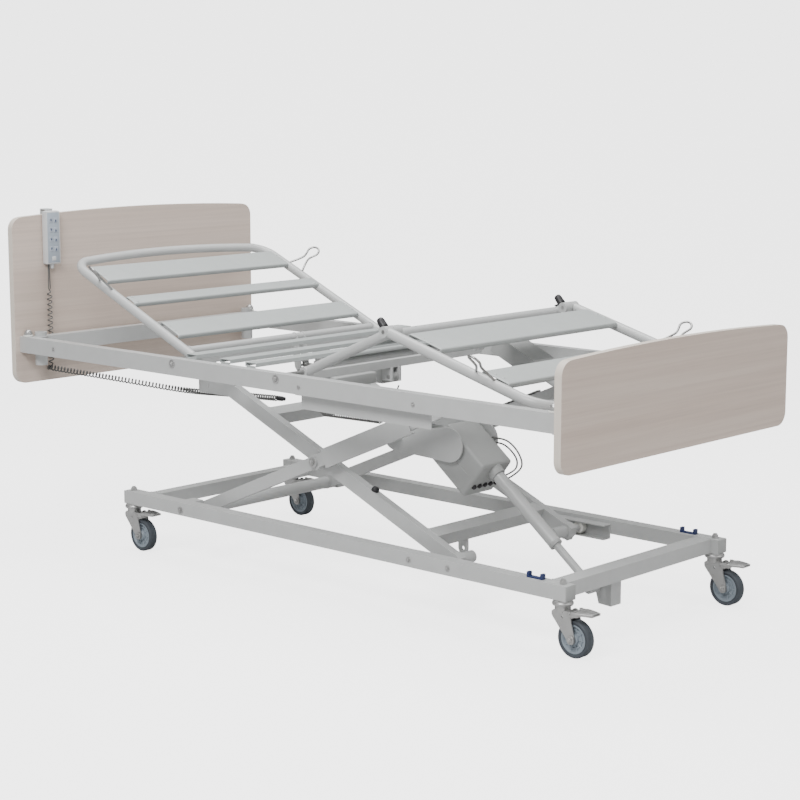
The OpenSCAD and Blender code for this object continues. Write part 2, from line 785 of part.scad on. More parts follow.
// Retainer loops on the side tubes of the backrest
module backrest_retainers() {
  color([0.86, 0.86, 0.86])
  at_backrest() both_sides()
    translate([-440, outer_bar_y + 4, section_tube / 2 + 1]) rotate([-retainer_lean, 0, 0])
      retainer_wire(98, 32, 20);
}

// ---------- thigh ----------

// Local frame of the thigh section: origin at its hinge, +X towards the knee
module at_thigh() {
  incline(thigh_hinge_x, hinge_z, thigh_angle) children();
}

// Side tubes, cross tubes at both hinges and the actuator bracket
module thigh_frame() {
  color([0.85, 0.86, 0.86])
  difference() {
    at_thigh() {
      both_sides() {
        bar_x(inner_bar_y, 0, 10, thigh_len - 10, section_tube);
        for (x = [0, thigh_len]) bar_y(x, 0, inner_bar_y - eye_w, inner_bar_y + eye_w, 30);
      }
      bar_y(62, 0, -inner_bar_y, inner_bar_y, 22);
      bar_y(thigh_len - 34, 0, -inner_bar_y, inner_bar_y, section_tube - 2);
      knee_bracket();
    }
    both_sides() {
      bar_y(thigh_hinge_x, hinge_z, inner_bar_y - 16, inner_bar_y + 16, hinge_pin_d + 2 * fit);
      bar_y(knee_x, knee_z, inner_bar_y - 16, inner_bar_y + 16, hinge_pin_d);
    }
  }
}

// Double lug under the knee tube with the pin of the knee actuator
module knee_bracket() {
  local = rotate_point(knee_act_pin - [thigh_hinge_x, hinge_z], -thigh_angle);
  for (s = [-1, 1]) {
    y = knee_act_y + s * 19;
    link_plate([thigh_len - 34, 0], local, 26, y - 2.5, y + 2.5);
    // bolt head outside the lug
    bar_y(local[0], local[1], s > 0 ? y : y - 9, s > 0 ? y + 9 : y, 20);
  }
}

// Two pressed slats across the thigh section
module thigh_slats() {
  color([0.82, 0.84, 0.84])
  at_thigh() {
    section_slat(24, 100, inner_bar_y - 16);
    section_slat(190, 276, inner_bar_y - 16);
  }
}

// Pins that join the thigh and calf sections
module knee_pins() {
  color([0.60, 0.61, 0.63])
  both_sides() bar_y(knee_x, knee_z, inner_bar_y - 15, outer_bar_y + 15, hinge_pin_d);
}

// Black grips over small brackets above the knee
module knee_caps() {
  color([0.07, 0.07, 0.08])
  at_thigh() both_sides()
    translate([thigh_len - 20, inner_bar_y, section_tube / 2 + gap]) {
      block(-12, 12, -8, 26, 0, 4);
      translate([0, 14, 3]) rotate([0, -18, 0]) cylinder(h = 30, d1 = 24, d2 = 22);
    }
}

// ---------- calf ----------

// Local frame of the calf section: origin at the knee, +X towards the foot
module at_calf() {
  incline(knee_x, knee_z, -calf_angle) children();
}

calf_corner_r = 90;

// U-shaped tube frame with a cross tube
module calf_frame() {
  straight = calf_len - calf_corner_r;
  color([0.85, 0.86, 0.86])
  difference() {
    at_calf() {
      both_sides() {
        bar_x(outer_bar_y, 0, 10, straight, section_tube);
        bar_y(0, 0, outer_bar_y - eye_w, outer_bar_y + eye_w, 30);
        translate([straight, outer_bar_y - calf_corner_r, 0])
          rotate_extrude(angle = 90, $fn = 64)
            translate([calf_corner_r, 0]) circle(d = section_tube, $fn = 32);
      }
      bar_y(calf_len, 0, -(outer_bar_y - calf_corner_r), outer_bar_y - calf_corner_r, section_tube);
      bar_y(378, 0, -outer_bar_y, outer_bar_y, 22);
    }
    both_sides()
      bar_y(knee_x, knee_z, outer_bar_y - 16, outer_bar_y + 16, hinge_pin_d + 2 * fit);
  }
}

// Two pressed slats across the calf section
module calf_slats() {
  color([0.80, 0.83, 0.82])
  at_calf() {
    section_slat(62, 180, 384);
    section_slat(332, 424, 392);
  }
}

// Retainer loops on the side tubes of the calf section
module calf_retainers() {
  color([0.86, 0.86, 0.86])
  at_calf() both_sides()
    translate([355, outer_bar_y + 4, section_tube / 2 + 1]) rotate([-retainer_lean, 0, 0])
      retainer_wire(94, 32, 18);
}

// ---------- actuators ----------

// Local frame along the lift actuator: origin at its rod pin, +X towards its top
module at_hilo() {
  translate([hilo_foot[0], hilo_y, hilo_foot[1]]) rotate([0, 180 + hilo_angle, 0]) children();
}

// Motor and control housing of the lift actuator
module hilo_housing() {
  color([0.76, 0.77, 0.76])
  difference() {
    at_hilo() {
      block(hilo_len - 130, hilo_len + 40, -64, 60, -28, 92);
      block(hilo_len - 150, hilo_len - 129.9, -25, 25, -23, 23);
    }
    at_hilo() bar_x(0, 0, hilo_len - 151, hilo_len - 20, hilo_tube_d + 0.2);
  }
}

// Outer tube of the lift actuator
module hilo_tube() {
  color([0.72, 0.73, 0.74])
  at_hilo() difference() {
    bar_x(0, 0, hilo_len - 409, hilo_len - 20, hilo_tube_d);
    bar_x(0, 0, hilo_len - 390, hilo_len - 40, hilo_rod_d + 4);
    bar_x(0, 0, hilo_len - 410, hilo_len - 389, hilo_rod_d + 2 * fit);
  }
}

// Inner rod of the lift actuator with its rod eye
module hilo_rod() {
  color([0.85, 0.86, 0.87])
  at_hilo() difference() {
    union() {
      bar_x(0, 0, 10, hilo_len - 205, hilo_rod_d);
      bar_y(0, 0, -16, 16, 34);
    }
    bar_y(0, 0, -17, 17, actuator_pin_d + 2 * fit);
  }
}

// Local frame along the backrest actuator: origin at its rear pin, +X towards the backrest
module at_back_act() {
  v = back_act_pin - back_act_rear;
  translate([back_act_rear[0], back_act_y, back_act_rear[1]])
    rotate([0, -atan2(v[1], v[0]), 0]) children();
}

back_act_len = norm(back_act_pin - back_act_rear);
back_rod_d = 18;

// Motor housing of the backrest actuator
module backrest_motor() {
  color([0.76, 0.77, 0.76])
  at_back_act() difference() {
    union() {
      bar_y(0, 0, -12, 12, 26);
      block(2, 150, -12.5, 12.5, -14, 14);
      block(30, 146, -13, 70, -20, 24);
      bar_x(0, 0, 149, 250, 26);
    }
    bar_x(0, 0, 120, 232, back_rod_d + 2);
    bar_x(0, 0, 231, 251, back_rod_d + 2 * fit);
    bar_y(0, 0, -20, 13, actuator_pin_d + 2 * fit);
  }
}

// Push rod of the backrest actuator with its wide eye
module backrest_rod() {
  color([0.85, 0.86, 0.87])
  at_back_act() difference() {
    union() {
      bar_x(0, 0, 150, back_act_len - 16, back_rod_d);
      bar_y(back_act_len, 0, -10, 10, 44);
    }
    bar_y(back_act_len, 0, -11, 11, 31);
  }
}

// Local frame along the knee actuator: origin at its pin under the knee, +X towards its foot
module at_knee_act() {
  v = knee_act_foot - knee_act_pin;
  translate([knee_act_pin[0], knee_act_y, knee_act_pin[1]])
    rotate([0, -atan2(v[1], v[0]), 0]) children();
}

knee_act_len = norm(knee_act_foot - knee_act_pin);
knee_rod_d = 20;

// Motor housing of the knee actuator
module knee_motor() {
  color([0.60, 0.62, 0.60])
  at_knee_act() difference() {
    union() {
      bar_y(0, 0, -13, 13, 24);
      block(2, 60, -13, 13, -12, 12);
      block(24, 175, -15, 75, -28, 24);
      bar_x(0, 0, 174, 330, 28);
    }
    bar_x(0, 0, 120, 311, knee_rod_d + 2);
    bar_x(0, 0, 310, 331, knee_rod_d + 2 * fit);
  }
}

// Push rod of the knee actuator with its foot eye
module knee_rod() {
  color([0.85, 0.86, 0.87])
  at_knee_act() difference() {
    union() {
      bar_x(0, 0, 200, knee_act_len - 10, knee_rod_d);
      bar_y(knee_act_len, 0, -14, 14, 30);
    }
    bar_y(knee_act_len, 0, -15, 15, actuator_pin_d + 2 * fit);
  }
}

// ---------- handset ----------

handset_y = -364;
handset_z = 868;
handset_h = 168;
handset_w = 56;

// Handset frame: origin low in the middle of its back, +X towards the foot end
module at_handset() {
  translate([rail_head_x, handset_y, handset_z]) children();
}

// Case and hook of the handset, hanging on the headboard
module handset_shell() {
  color([0.72, 0.75, 0.78])
  at_handset() difference() {
    block(gap, 24, -handset_w / 2, handset_w / 2, 0, handset_h);
    block(21, 25, -handset_w / 2 + 5, handset_w / 2 - 5, 5, handset_h - 5);
    for (i = [0:3]) key_place(i) block(-6, 6, -17.5, 17.5, -9.5, 9.5);
    key_place(4) block(-6, 6, -8.5, 8.5, -7.5, 7.5);
  }
  color([0.72, 0.75, 0.78])
  at_handset() {
    block(gap, 5, -14, 14, handset_h - 1, handset_h + 6);
    block(-board_t - 3, 5, -14, 14, handset_h + 2.5, handset_h + 6);
    block(-board_t - 3, -board_t - gap, -14, 14, handset_h - 24, handset_h + 6);
  }
}

// Places a key on the handset's face, counted from the top
module key_place(i) {
  translate([20, 0, handset_h - 30 - 30 * i]) children();
}

// Thin front panel of the handset
module handset_panel() {
  color([0.60, 0.66, 0.72])
  at_handset() difference() {
    block(21 + gap / 3, 23.5, -handset_w / 2 + 5.3, handset_w / 2 - 5.3, 5.3, handset_h - 5.3);
    for (i = [0:3]) key_place(i) block(-6, 6, -17.5, 17.5, -9.5, 9.5);
    key_place(4) block(-6, 6, -8.5, 8.5, -7.5, 7.5);
  }
}

// Rocker key: its left and right halves move one function each way
module rocker_key(i) {
  color([0.88, 0.89, 0.90])
  at_handset() key_place(i) difference() {
    block(-3.5, 6, -17, 17, -9, 9);
    translate([16, 0, 0]) bar_z(0, 0, -10, 10, 22);
  }
}

module handset_key_1() { rocker_key(0); }
module handset_key_2() { rocker_key(1); }
module handset_key_3() { rocker_key(2); }
module handset_key_4() { rocker_key(3); }

// Push key that locks the handset
module handset_lock_key() {
  color([0.20, 0.22, 0.25])
  at_handset() key_place(4) block(-3.5, 5.5, -8, 8, -7, 7);
}

// ---------- assembly ----------

chassis_frame();
base_tracks();
rail_clips();
caster_stems();
lower_pivot_pins();
caster_fork_near_head();
caster_pedal_near_head();
wheel_hub_near_head();
tyre_near_head();
caster_fork_far_head();
caster_pedal_far_head();
wheel_hub_far_head();
tyre_far_head();
caster_fork_near_foot();
caster_pedal_near_foot();
wheel_hub_near_foot();
tyre_near_foot();
caster_fork_far_foot();
caster_pedal_far_foot();
wheel_hub_far_foot();
tyre_far_foot();
outer_legs();
leg_covers();
upper_rollers();
inner_legs();
leg_plugs();
lower_rollers();
platform_frame();
upper_tracks();
seat_slats();
platform_pivot_pins();
headboard();
footboard();
board_knobs();
cable_box();
handset_cable();
backrest_frame();
backrest_slats();
backrest_retainers();
thigh_frame();
thigh_slats();
knee_pins();
knee_caps();
calf_frame();
calf_slats();
calf_retainers();
hilo_housing();
hilo_tube();
hilo_rod();
backrest_motor();
backrest_rod();
knee_motor();
knee_rod();
handset_shell();
handset_panel();
handset_key_1();
handset_key_2();
handset_key_3();
handset_key_4();
handset_lock_key();
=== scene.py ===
"""Looks of the adjustable hospital bed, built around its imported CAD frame. Metres, +X to the foot end."""

import json
import math
import random

import bmesh
import bpy
from mathutils import Matrix, Vector


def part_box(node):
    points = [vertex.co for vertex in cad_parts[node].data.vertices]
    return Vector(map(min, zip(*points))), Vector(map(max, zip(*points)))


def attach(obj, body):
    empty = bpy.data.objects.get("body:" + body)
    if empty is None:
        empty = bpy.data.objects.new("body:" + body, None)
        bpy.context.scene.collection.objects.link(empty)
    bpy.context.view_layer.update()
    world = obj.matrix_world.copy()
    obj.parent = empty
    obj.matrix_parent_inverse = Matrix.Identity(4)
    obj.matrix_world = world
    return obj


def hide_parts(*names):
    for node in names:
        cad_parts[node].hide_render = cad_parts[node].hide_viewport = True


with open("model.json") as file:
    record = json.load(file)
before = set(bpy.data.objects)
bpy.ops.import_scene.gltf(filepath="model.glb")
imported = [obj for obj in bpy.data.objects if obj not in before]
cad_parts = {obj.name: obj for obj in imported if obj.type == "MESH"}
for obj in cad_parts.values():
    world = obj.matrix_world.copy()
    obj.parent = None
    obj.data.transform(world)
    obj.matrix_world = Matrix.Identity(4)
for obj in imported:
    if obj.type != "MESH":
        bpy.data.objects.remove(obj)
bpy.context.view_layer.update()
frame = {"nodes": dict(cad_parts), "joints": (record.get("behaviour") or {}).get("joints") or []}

MM = 0.001
DICE = random.Random(7)
JOINTS = {joint["name"]: joint for joint in frame["joints"]}
CORNERS = [f"{side}_{end}" for side in ("near", "far") for end in ("head", "foot")]
X_AXIS, Y_AXIS, Z_AXIS = Vector((1, 0, 0)), Vector((0, 1, 0)), Vector((0, 0, 1))


def pivot(name):
    """Where a hinge sits, in metres."""
    return Vector(JOINTS[name]["pos_m"])


# Angles of the sections above the horizontal in the rest pose, in radians
BACKREST_ANGLE = math.radians(23.5)
THIGH_ANGLE = math.radians(23.26)
CALF_ANGLE = math.radians(-15.5)
LEG_ANGLE = math.atan2(
    pivot("platform_level").z - pivot("lift").z,
    pivot("upper_roller_turn").x - pivot("lift").x,
)
TUBE_R = 14 * MM
OUTER_BAR_Y = 400 * MM
# From the lift actuator's rod pin to its top
LIFT_LENGTH = 559.1 * MM


# ---------------------------------------------------------------- local frames


def section_frame(origin, angle, towards=1):
    """Matrix of a section: local x runs along its bars, z stands on them, y stays across the bed."""
    along = Vector((towards * math.cos(angle), 0, math.sin(angle)))
    normal = Vector((-towards * math.sin(angle), 0, math.cos(angle)))
    turned = Matrix((along, Y_AXIS, normal)).transposed().to_4x4()
    return Matrix.Translation(origin) @ turned


BACKREST = section_frame(pivot("backrest_raise"), BACKREST_ANGLE, -1)
THIGH = section_frame(pivot("thigh_raise"), THIGH_ANGLE)
CALF = section_frame(pivot("knee"), CALF_ANGLE)
OUTER_LEG = section_frame(pivot("lift"), LEG_ANGLE)
INNER_LEG = section_frame(pivot("platform_level"), -LEG_ANGLE)
HERE = Matrix.Identity(4)


# ---------------------------------------------------------------- materials


class Look:
    """A node material being put together."""

    def __init__(self, name):
        self.material = bpy.data.materials.new(name)
        self.material.use_nodes = True
        self.tree = self.material.node_tree
        self.tree.nodes.clear()
        self.shader = self.tree.nodes.new("ShaderNodeBsdfPrincipled")
        output = self.tree.nodes.new("ShaderNodeOutputMaterial")
        self.tree.links.new(self.shader.outputs[0], output.inputs[0])
        self.place = self.tree.nodes.new("ShaderNodeTexCoord").outputs["Object"]

    def node(self, kind, values=None, **settings):
        made = self.tree.nodes.new(kind)
        for key, value in settings.items():
            setattr(made, key, value)
        for key, value in (values or {}).items():
            self.feed(made.inputs[key], value)
        return made

    def feed(self, socket, value):
        if isinstance(value, bpy.types.NodeSocket):
            self.tree.links.new(value, socket)
        else:
            socket.default_value = value

    def stretched(self, scale):
        return self.node("ShaderNodeMapping", {"Vector": self.place, "Scale": scale}).outputs[0]

    def noise(self, scale, detail=3.0, stretch=None):
        vector = self.stretched(stretch) if stretch else self.place
        values = {"Vector": vector, "Scale": scale, "Detail": detail}
        return self.node("ShaderNodeTexNoise", values).outputs["Fac"]

    def ramp(self, factor, stops):
        made = self.node("ShaderNodeValToRGB", {"Fac": factor})
        elements = made.color_ramp.elements
        for index, (position, colour) in enumerate(stops):
            element = elements[index] if index < 2 else elements.new(position)
            element.position = position
            element.color = (*colour, 1.0)
        return made.outputs["Color"]

    def span(self, value, low, high, start=0.0, end=1.0):
        values = {0: value, 1: start, 2: end, 3: low, 4: high}
        return self.node("ShaderNodeMapRange", values).outputs[0]

    def calc(self, operation, first, second=0.0):
        return self.node("ShaderNodeMath", {0: first, 1: second}, operation=operation).outputs[0]

    def mix(self, factor, first, second, blend="MIX"):
        made = self.node("ShaderNodeMix", data_type="RGBA", blend_type=blend)
        self.feed(made.inputs[0], factor)
        for socket, value in ((made.inputs[6], first), (made.inputs[7], second)):
            self.feed(socket, value if isinstance(value, bpy.types.NodeSocket) else (*value, 1.0))
        return made.outputs[2]

    def bumps(self, *layers):
        """Stacks (height, depth in metres) layers into the shader's normal."""
        normal = None
        for height, depth in layers:
            values = {"Height": height, "Distance": depth, "Strength": 1.0}
            made = self.node("ShaderNodeBump", values)
            if normal is not None:
                self.feed(made.inputs["Normal"], normal)
            normal = made.outputs[0]
        self.feed(self.shader.inputs["Normal"], normal)

    def edges(self, radius):
        """1 on convex and concave edges within the radius, 0 on flats."""
        rounded = self.node("ShaderNodeBevel", {"Radius": radius}, samples=4).outputs[0]
        flat = self.node("ShaderNodeNewGeometry").outputs["Normal"]
        values = {0: rounded, 1: flat}
        likeness = self.node("ShaderNodeVectorMath", values, operation="DOT_PRODUCT")
        return self.span(likeness.outputs["Value"], 1.0, 0.0, 0.80, 0.995)

    def set(self, **values):
        for key, value in values.items():
            self.feed(self.shader.inputs[key.replace("_", " ")], value)


def tone(colour, factor):
    """The colour made lighter or darker."""
    return tuple(min(1.0, channel * factor) for channel in colour)


def coated(name, colour, rough=0.4, tint=0.05, grain=700.0, depth=0.00003, worn=None, coat=0.0):
    """Painted or moulded surface: patchy colour, fine grain, uneven gloss and rubbed edges."""
    look = Look(name)
    patches = look.noise(5.0, 4.0)
    fine = look.noise(grain, 2.0)
    smudges = look.span(look.noise(23.0, 6.0), 0.0, 1.0, 0.42, 0.72)
    shade = look.mix(patches, tone(colour, 1 - tint), tone(colour, 1 + tint))
    shade = look.mix(look.calc("MULTIPLY", smudges, 0.35), shade, tone(colour, 0.86))
    if worn:
        rubbed = look.calc("MULTIPLY", look.edges(0.0012), look.noise(60.0, 5.0))
        shade = look.mix(rubbed, shade, worn)
    smeared = look.calc("MULTIPLY", smudges, 0.08)
    gloss = look.calc("ADD", look.span(patches, rough - 0.06, rough + 0.07), smeared)
    look.set(Base_Color=shade, Roughness=gloss, Coat_Weight=coat, Coat_Roughness=0.2)
    look.bumps((look.noise(40.0, 2.0), depth * 3), (fine, depth))
    return look.material


def plated(name, colour, rough=0.3, scratch=(40, 40, 900)):
    """Bare or zinc-plated metal with fine scratches and dull patches."""
    look = Look(name)
    scratches = look.noise(1.0, 6.0, stretch=scratch)
    bloom = look.noise(48.0, 5.0)
    shade = look.mix(bloom, tone(colour, 0.82), tone(colour, 1.08))
    dulled = look.calc("MULTIPLY", look.edges(0.001), 0.5)
    shade = look.mix(dulled, shade, tone(colour, 1.2))
    scratched = look.calc("MULTIPLY", scratches, 0.1)
    gloss = look.calc("ADD", look.span(bloom, rough - 0.08, rough + 0.12), scratched)
    look.set(Base_Color=shade, Metallic=0.92, Roughness=gloss)
    look.bumps((scratches, 0.00003), (bloom, 0.00005))
    return look.material


def rubber(name, colour):
    """Matt dark rubber with a little dust."""
    look = Look(name)
    dust = look.span(look.noise(30.0, 6.0), 0.0, 0.5, 0.4, 0.8)
    shade = look.mix(dust, colour, tone(colour, 2.1))
    look.set(Base_Color=shade, Roughness=look.span(dust, 0.62, 0.9), Specular_IOR_Level=0.35)
    look.bumps((look.noise(900.0, 3.0), 0.00005), (look.noise(120.0, 3.0), 0.0001))
    return look.material


def laminate(name):
    """Pinkish beige laminate: faint straight fibres across the bed, fine pores, cream edge banding."""
    look = Look(name)
    bands = look.noise(1.0, 2.0, stretch=(6, 0.5, 16))
    fibres = look.noise(1.0, 5.0, stretch=(60, 1.4, 120))
    pores = look.noise(1.0, 4.0, stretch=(300, 10, 700))
    base = look.ramp(bands, [(0.32, (0.56, 0.468, 0.405)), (0.68, (0.60, 0.512, 0.450))])
    strands = look.ramp(fibres, [(0.36, (0.88, 0.855, 0.84)), (0.62, (1.03, 1.02, 1.01))])
    shade = look.mix(0.6, base, strands, "MULTIPLY")
    specks = look.ramp(pores, [(0.30, (0.80, 0.755, 0.72)), (0.43, (1.0, 1.0, 1.0))])
    shade = look.mix(0.30, shade, specks, "MULTIPLY")
    facing = look.node("ShaderNodeSeparateXYZ", {0: look.node("ShaderNodeNewGeometry").outputs["Normal"]})
    face = look.span(look.calc("ABSOLUTE", facing.outputs["X"]), 0.0, 1.0, 0.55, 0.75)
    band = look.mix(look.noise(1.0, 3.0, stretch=(300, 6, 6)), (0.62, 0.56, 0.49), (0.69, 0.63, 0.56))
    shade = look.mix(face, band, shade)
    look.set(Base_Color=shade, Roughness=look.span(fibres, 0.46, 0.62), Specular_IOR_Level=0.4)
    look.bumps((pores, 0.00005), (fibres, 0.00006))
    return look.material


def screen_panel(name):
    """Handset front film: a soft grey-blue with a faint weave."""
    look = Look(name)
    weave = look.noise(1500.0, 2.0)
    fade = look.noise(14.0, 3.0)
    shade = look.mix(fade, (0.30, 0.345, 0.40), (0.37, 0.415, 0.47))
    look.set(Base_Color=shade, Roughness=look.span(weave, 0.34, 0.5), Coat_Weight=0.15)
    look.bumps((weave, 0.00002))
    return look.material


# Colours are linear red, green and blue; worn is the tone of rubbed edges
PAINT = coated(
    "frame_paint", (0.46, 0.468, 0.465), rough=0.36, tint=0.025, worn=(0.78, 0.78, 0.77), coat=0.15
)
SLAT_PAINT = coated(
    "slat_paint", (0.40, 0.425, 0.42), rough=0.42, tint=0.03, worn=(0.76, 0.76, 0.75), coat=0.1
)
WELD = coated("weld_paint", (0.43, 0.438, 0.435), rough=0.42, tint=0.06, grain=260.0, depth=0.00012)
ZINC = plated("zinc", (0.50, 0.50, 0.495), rough=0.34)
BRIGHT = plated("bright_steel", (0.36, 0.36, 0.355), rough=0.24, scratch=(900, 60, 60))
HUB = coated("hub_plastic", (0.235, 0.275, 0.315), rough=0.48, tint=0.08, worn=(0.36, 0.42, 0.47))
TYRE = rubber("tyre_rubber", (0.050, 0.058, 0.068))
HOUSING = coated(
    "housing_plastic", (0.34, 0.347, 0.342), rough=0.46, tint=0.04, grain=1100.0, worn=(0.62, 0.62, 0.61)
)
NYLON = coated("roller_nylon", (0.78, 0.78, 0.74), rough=0.40, tint=0.03)
BLACK = coated("black_plastic", (0.014, 0.014, 0.016), rough=0.42, tint=0.2, worn=(0.05, 0.05, 0.052))
NAVY = coated("navy_plastic", (0.010, 0.022, 0.095), rough=0.36, tint=0.12, worn=(0.04, 0.06, 0.16))
CABLE = coated("cable_sheath", (0.105, 0.105, 0.102), rough=0.5, tint=0.08, grain=1500.0)
CASE = coated(
    "handset_case", (0.56, 0.57, 0.575), rough=0.44, tint=0.04, grain=1300.0, worn=(0.55, 0.57, 0.58)
)
KEY = coated(
    "key_plastic", (0.36, 0.40, 0.46), rough=0.5, tint=0.04, grain=1300.0, worn=(0.46, 0.5, 0.55)
)
GLYPH = coated("key_print", (0.030, 0.045, 0.105), rough=0.55, tint=0.1)
BOARD = laminate("ash_laminate")
FILM = screen_panel("handset_film")


# ---------------------------------------------------------------- mesh building


class Shape:
    """Gathers geometry in the row frame, or in a section's frame, and becomes one piece."""

    def __init__(self, place=HERE):
        self.place = place
        self.verts = []
        self.faces = []

    def add(self, verts, faces):
        start = len(self.verts)
        self.verts += [self.place @ Vector(v) for v in verts]
        self.faces += [[start + index for index in face] for face in faces]

    def rings(self, rings, closed=False, capped=True):
        """Skins rings of equal length."""
        count = len(rings[0])
        faces = []
        for row in range(len(rings) - (0 if closed else 1)):
            ahead = (row + 1) % len(rings)
            for i in range(count):
                j = (i + 1) % count
                faces.append([row * count + i, row * count + j, ahead * count + j, ahead * count + i])
        if capped and not closed:
            faces.append(list(reversed(range(count))))
            faces.append([(len(rings) - 1) * count + i for i in range(count)])
        self.add([v for ring in rings for v in ring], faces)
        return self

    def lathe(self, origin, axis, profile, segments=32, hollow=False):
        """Turns (distance along the axis, radius) points round the axis. Hollow joins last to first."""
        axis = Vector(axis).normalized()
        side = axis.orthogonal().normalized()
        other = axis.cross(side)
        rings = []
        for along, radius in profile:
            ring = []
            for i in range(segments):
                turn = 2 * math.pi * i / segments
                reach = side * math.cos(turn) + other * math.sin(turn)
                ring.append(Vector(origin) + axis * along + reach * radius)
            rings.append(ring)
        return self.rings(rings, closed=hollow, capped=not hollow)

    def sweep(self, path, radius, sides=10, closed=False):
        """Round wire along a path of points."""
        path = [Vector(point) for point in path]
        rings = []
        side = None
        for i, point in enumerate(path):
            before = path[i - 1] if i or closed else point
            after = path[(i + 1) % len(path)] if i + 1 < len(path) or closed else point
            tangent = (after - before).normalized()
            if side is None:
                side = tangent.orthogonal()
            side = (side - tangent * side.dot(tangent)).normalized()
            other = tangent.cross(side)
            turns = [2 * math.pi * k / sides for k in range(sides)]
            reaches = [side * math.cos(turn) + other * math.sin(turn) for turn in turns]
            rings.append([point + reach * radius for reach in reaches])
        return self.rings(rings, closed=closed)

    def box(self, low, high, radius=0.0, segments=2):
        """Box between two corners with rounded edges."""
        low, high = Vector(low), Vector(high)
        made = bmesh.new()
        bmesh.ops.create_cube(made, size=1.0)
        for vert in made.verts:
            vert.co = Vector((low[k] + (high[k] - low[k]) * (vert.co[k] + 0.5) for k in range(3)))
        if radius:
            rounding = {"offset": radius, "segments": segments, "profile": 0.5, "affect": "EDGES"}
            bmesh.ops.bevel(made, geom=made.edges[:], **rounding)
        made.verts.index_update()
        self.add([v.co.copy() for v in made.verts], [[v.index for v in f.verts] for f in made.faces])
        made.free()
        return self

    def outline(self, points, low, high, axis=1):
        """Flat outline in two axes, thick along the third, which is the axis given."""
        flat = [k for k in range(3) if k != axis]
        rings = []
        for level in (low, high):
            ring = []
            for a, b in points:
                spot = [0.0, 0.0, 0.0]
                spot[axis], spot[flat[0]], spot[flat[1]] = level, a, b
                ring.append(spot)
            rings.append(ring)
        return self.rings(rings)

    def hex_bolt(self, origin, axis, size, height=None):
        """Hexagon head on a washer."""
        height = height or size * 0.55
        axis = Vector(axis).normalized()
        washer = [(0.0, size * 0.95), (size * 0.12, size * 0.95), (size * 0.14, size * 0.90)]
        self.lathe(origin, axis, washer, 28)
        start = size * 0.14
        head = [(start, size * 0.56), (start + height * 0.85, size * 0.56), (start + height, size * 0.49)]
        self.lathe(origin, axis, head, 6)
        stub = [(start + height, size * 0.27), (start + height * 1.2, size * 0.27)]
        stub.append((start + height * 1.25, size * 0.2))
        return self.lathe(origin, axis, stub, 16)

    def weld_ring(self, origin, axis, radius, bead=2.2 * MM):
        """Rippled bead round a tube."""
        axis = Vector(axis).normalized()
        side = axis.orthogonal().normalized()
        other = axis.cross(side)
        path = []
        for i in range(72):
            turn = 2 * math.pi * i / 72
            ripple = 1 + 0.02 * math.sin(turn * 24) + 0.01 * DICE.random()
            path.append(Vector(origin) + (side * math.cos(turn) + other * math.sin(turn)) * radius * ripple)
        return self.sweep(path, bead, 6, closed=True)

    def weld_line(self, start, end, bead=2.2 * MM):
        """Rippled bead along a straight joint."""
        start, end = Vector(start), Vector(end)
        steps = max(6, int((end - start).length / (2.5 * MM)))
        path = []
        for i in range(steps + 1):
            wobble = Vector((DICE.uniform(-1, 1), DICE.uniform(-1, 1), DICE.uniform(-1, 1))) * 0.3 * MM
            path.append(start.lerp(end, i / steps) + wobble)
        return self.sweep(path, bead, 6)

    def piece(self, name, body, material, slot, stands_for=(), bevel=0.0, sub=0, flat=False):
        """Makes the object, rides it on its body and hides the nodes it stands for."""
        mesh = bpy.data.meshes.new(name)
        mesh.from_pydata([tuple(v) for v in self.verts], [], self.faces)
        mesh.validate()
        tidy = bmesh.new()
        tidy.from_mesh(mesh)
        bmesh.ops.recalc_face_normals(tidy, faces=tidy.faces[:])
        tidy.to_mesh(mesh)
        tidy.free()
        obj = bpy.data.objects.new(name, mesh)
        bpy.context.scene.collection.objects.link(obj)
        mesh.materials.append(material)
        finish_surface(obj, bevel, flat)
        if sub:
            obj.modifiers.new("smooth", "SUBSURF").render_levels = sub
        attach(obj, body)
        if stands_for:
            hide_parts(*stands_for)
        return obj


def finish_surface(obj, bevel, flat=False):
    """Smooth shading that breaks at sharp edges, with those edges rounded."""
    for face in obj.data.polygons:
        face.use_smooth = not flat
    if bevel:
        rounding = obj.modifiers.new("rounding", "BEVEL")
        rounding.width = bevel
        rounding.segments = 2
        rounding.limit_method = "ANGLE"
        rounding.angle_limit = math.radians(38)
        rounding.harden_normals = True
    elif not flat:
        obj.data.set_sharp_from_angle(angle=math.radians(38))


def dress(node, material, bevel=1.2 * MM):
    """Gives a CAD node its material and rounds its edges."""
    obj = frame["nodes"][node]
    obj.data.materials.clear()
    obj.data.materials.append(material)
    split_normals = obj.data.attributes.get("custom_normal")
    if split_normals:
        obj.data.attributes.remove(split_normals)
    weld = obj.modifiers.new("weld", "WELD")
    weld.merge_threshold = 0.00001
    for face in obj.data.polygons:
        face.use_smooth = True
    rounding = obj.modifiers.new("rounding", "BEVEL")
    rounding.width = bevel
    rounding.segments = 2
    rounding.limit_method = "ANGLE"
    rounding.angle_limit = math.radians(38)
    rounding.harden_normals = True


def in_metres(profile):
    """Profile points given in millimetres, in metres."""
    return [(a * MM, b * MM) for a, b in profile]


def arc(centre, radius, start, end, steps=12):
    """Points of an arc in two axes, angles in degrees."""
    points = []
    for i in range(steps + 1):
        turn = math.radians(start + (end - start) * i / steps)
        points.append((centre[0] + radius * math.cos(turn), centre[1] + radius * math.sin(turn)))
    return points


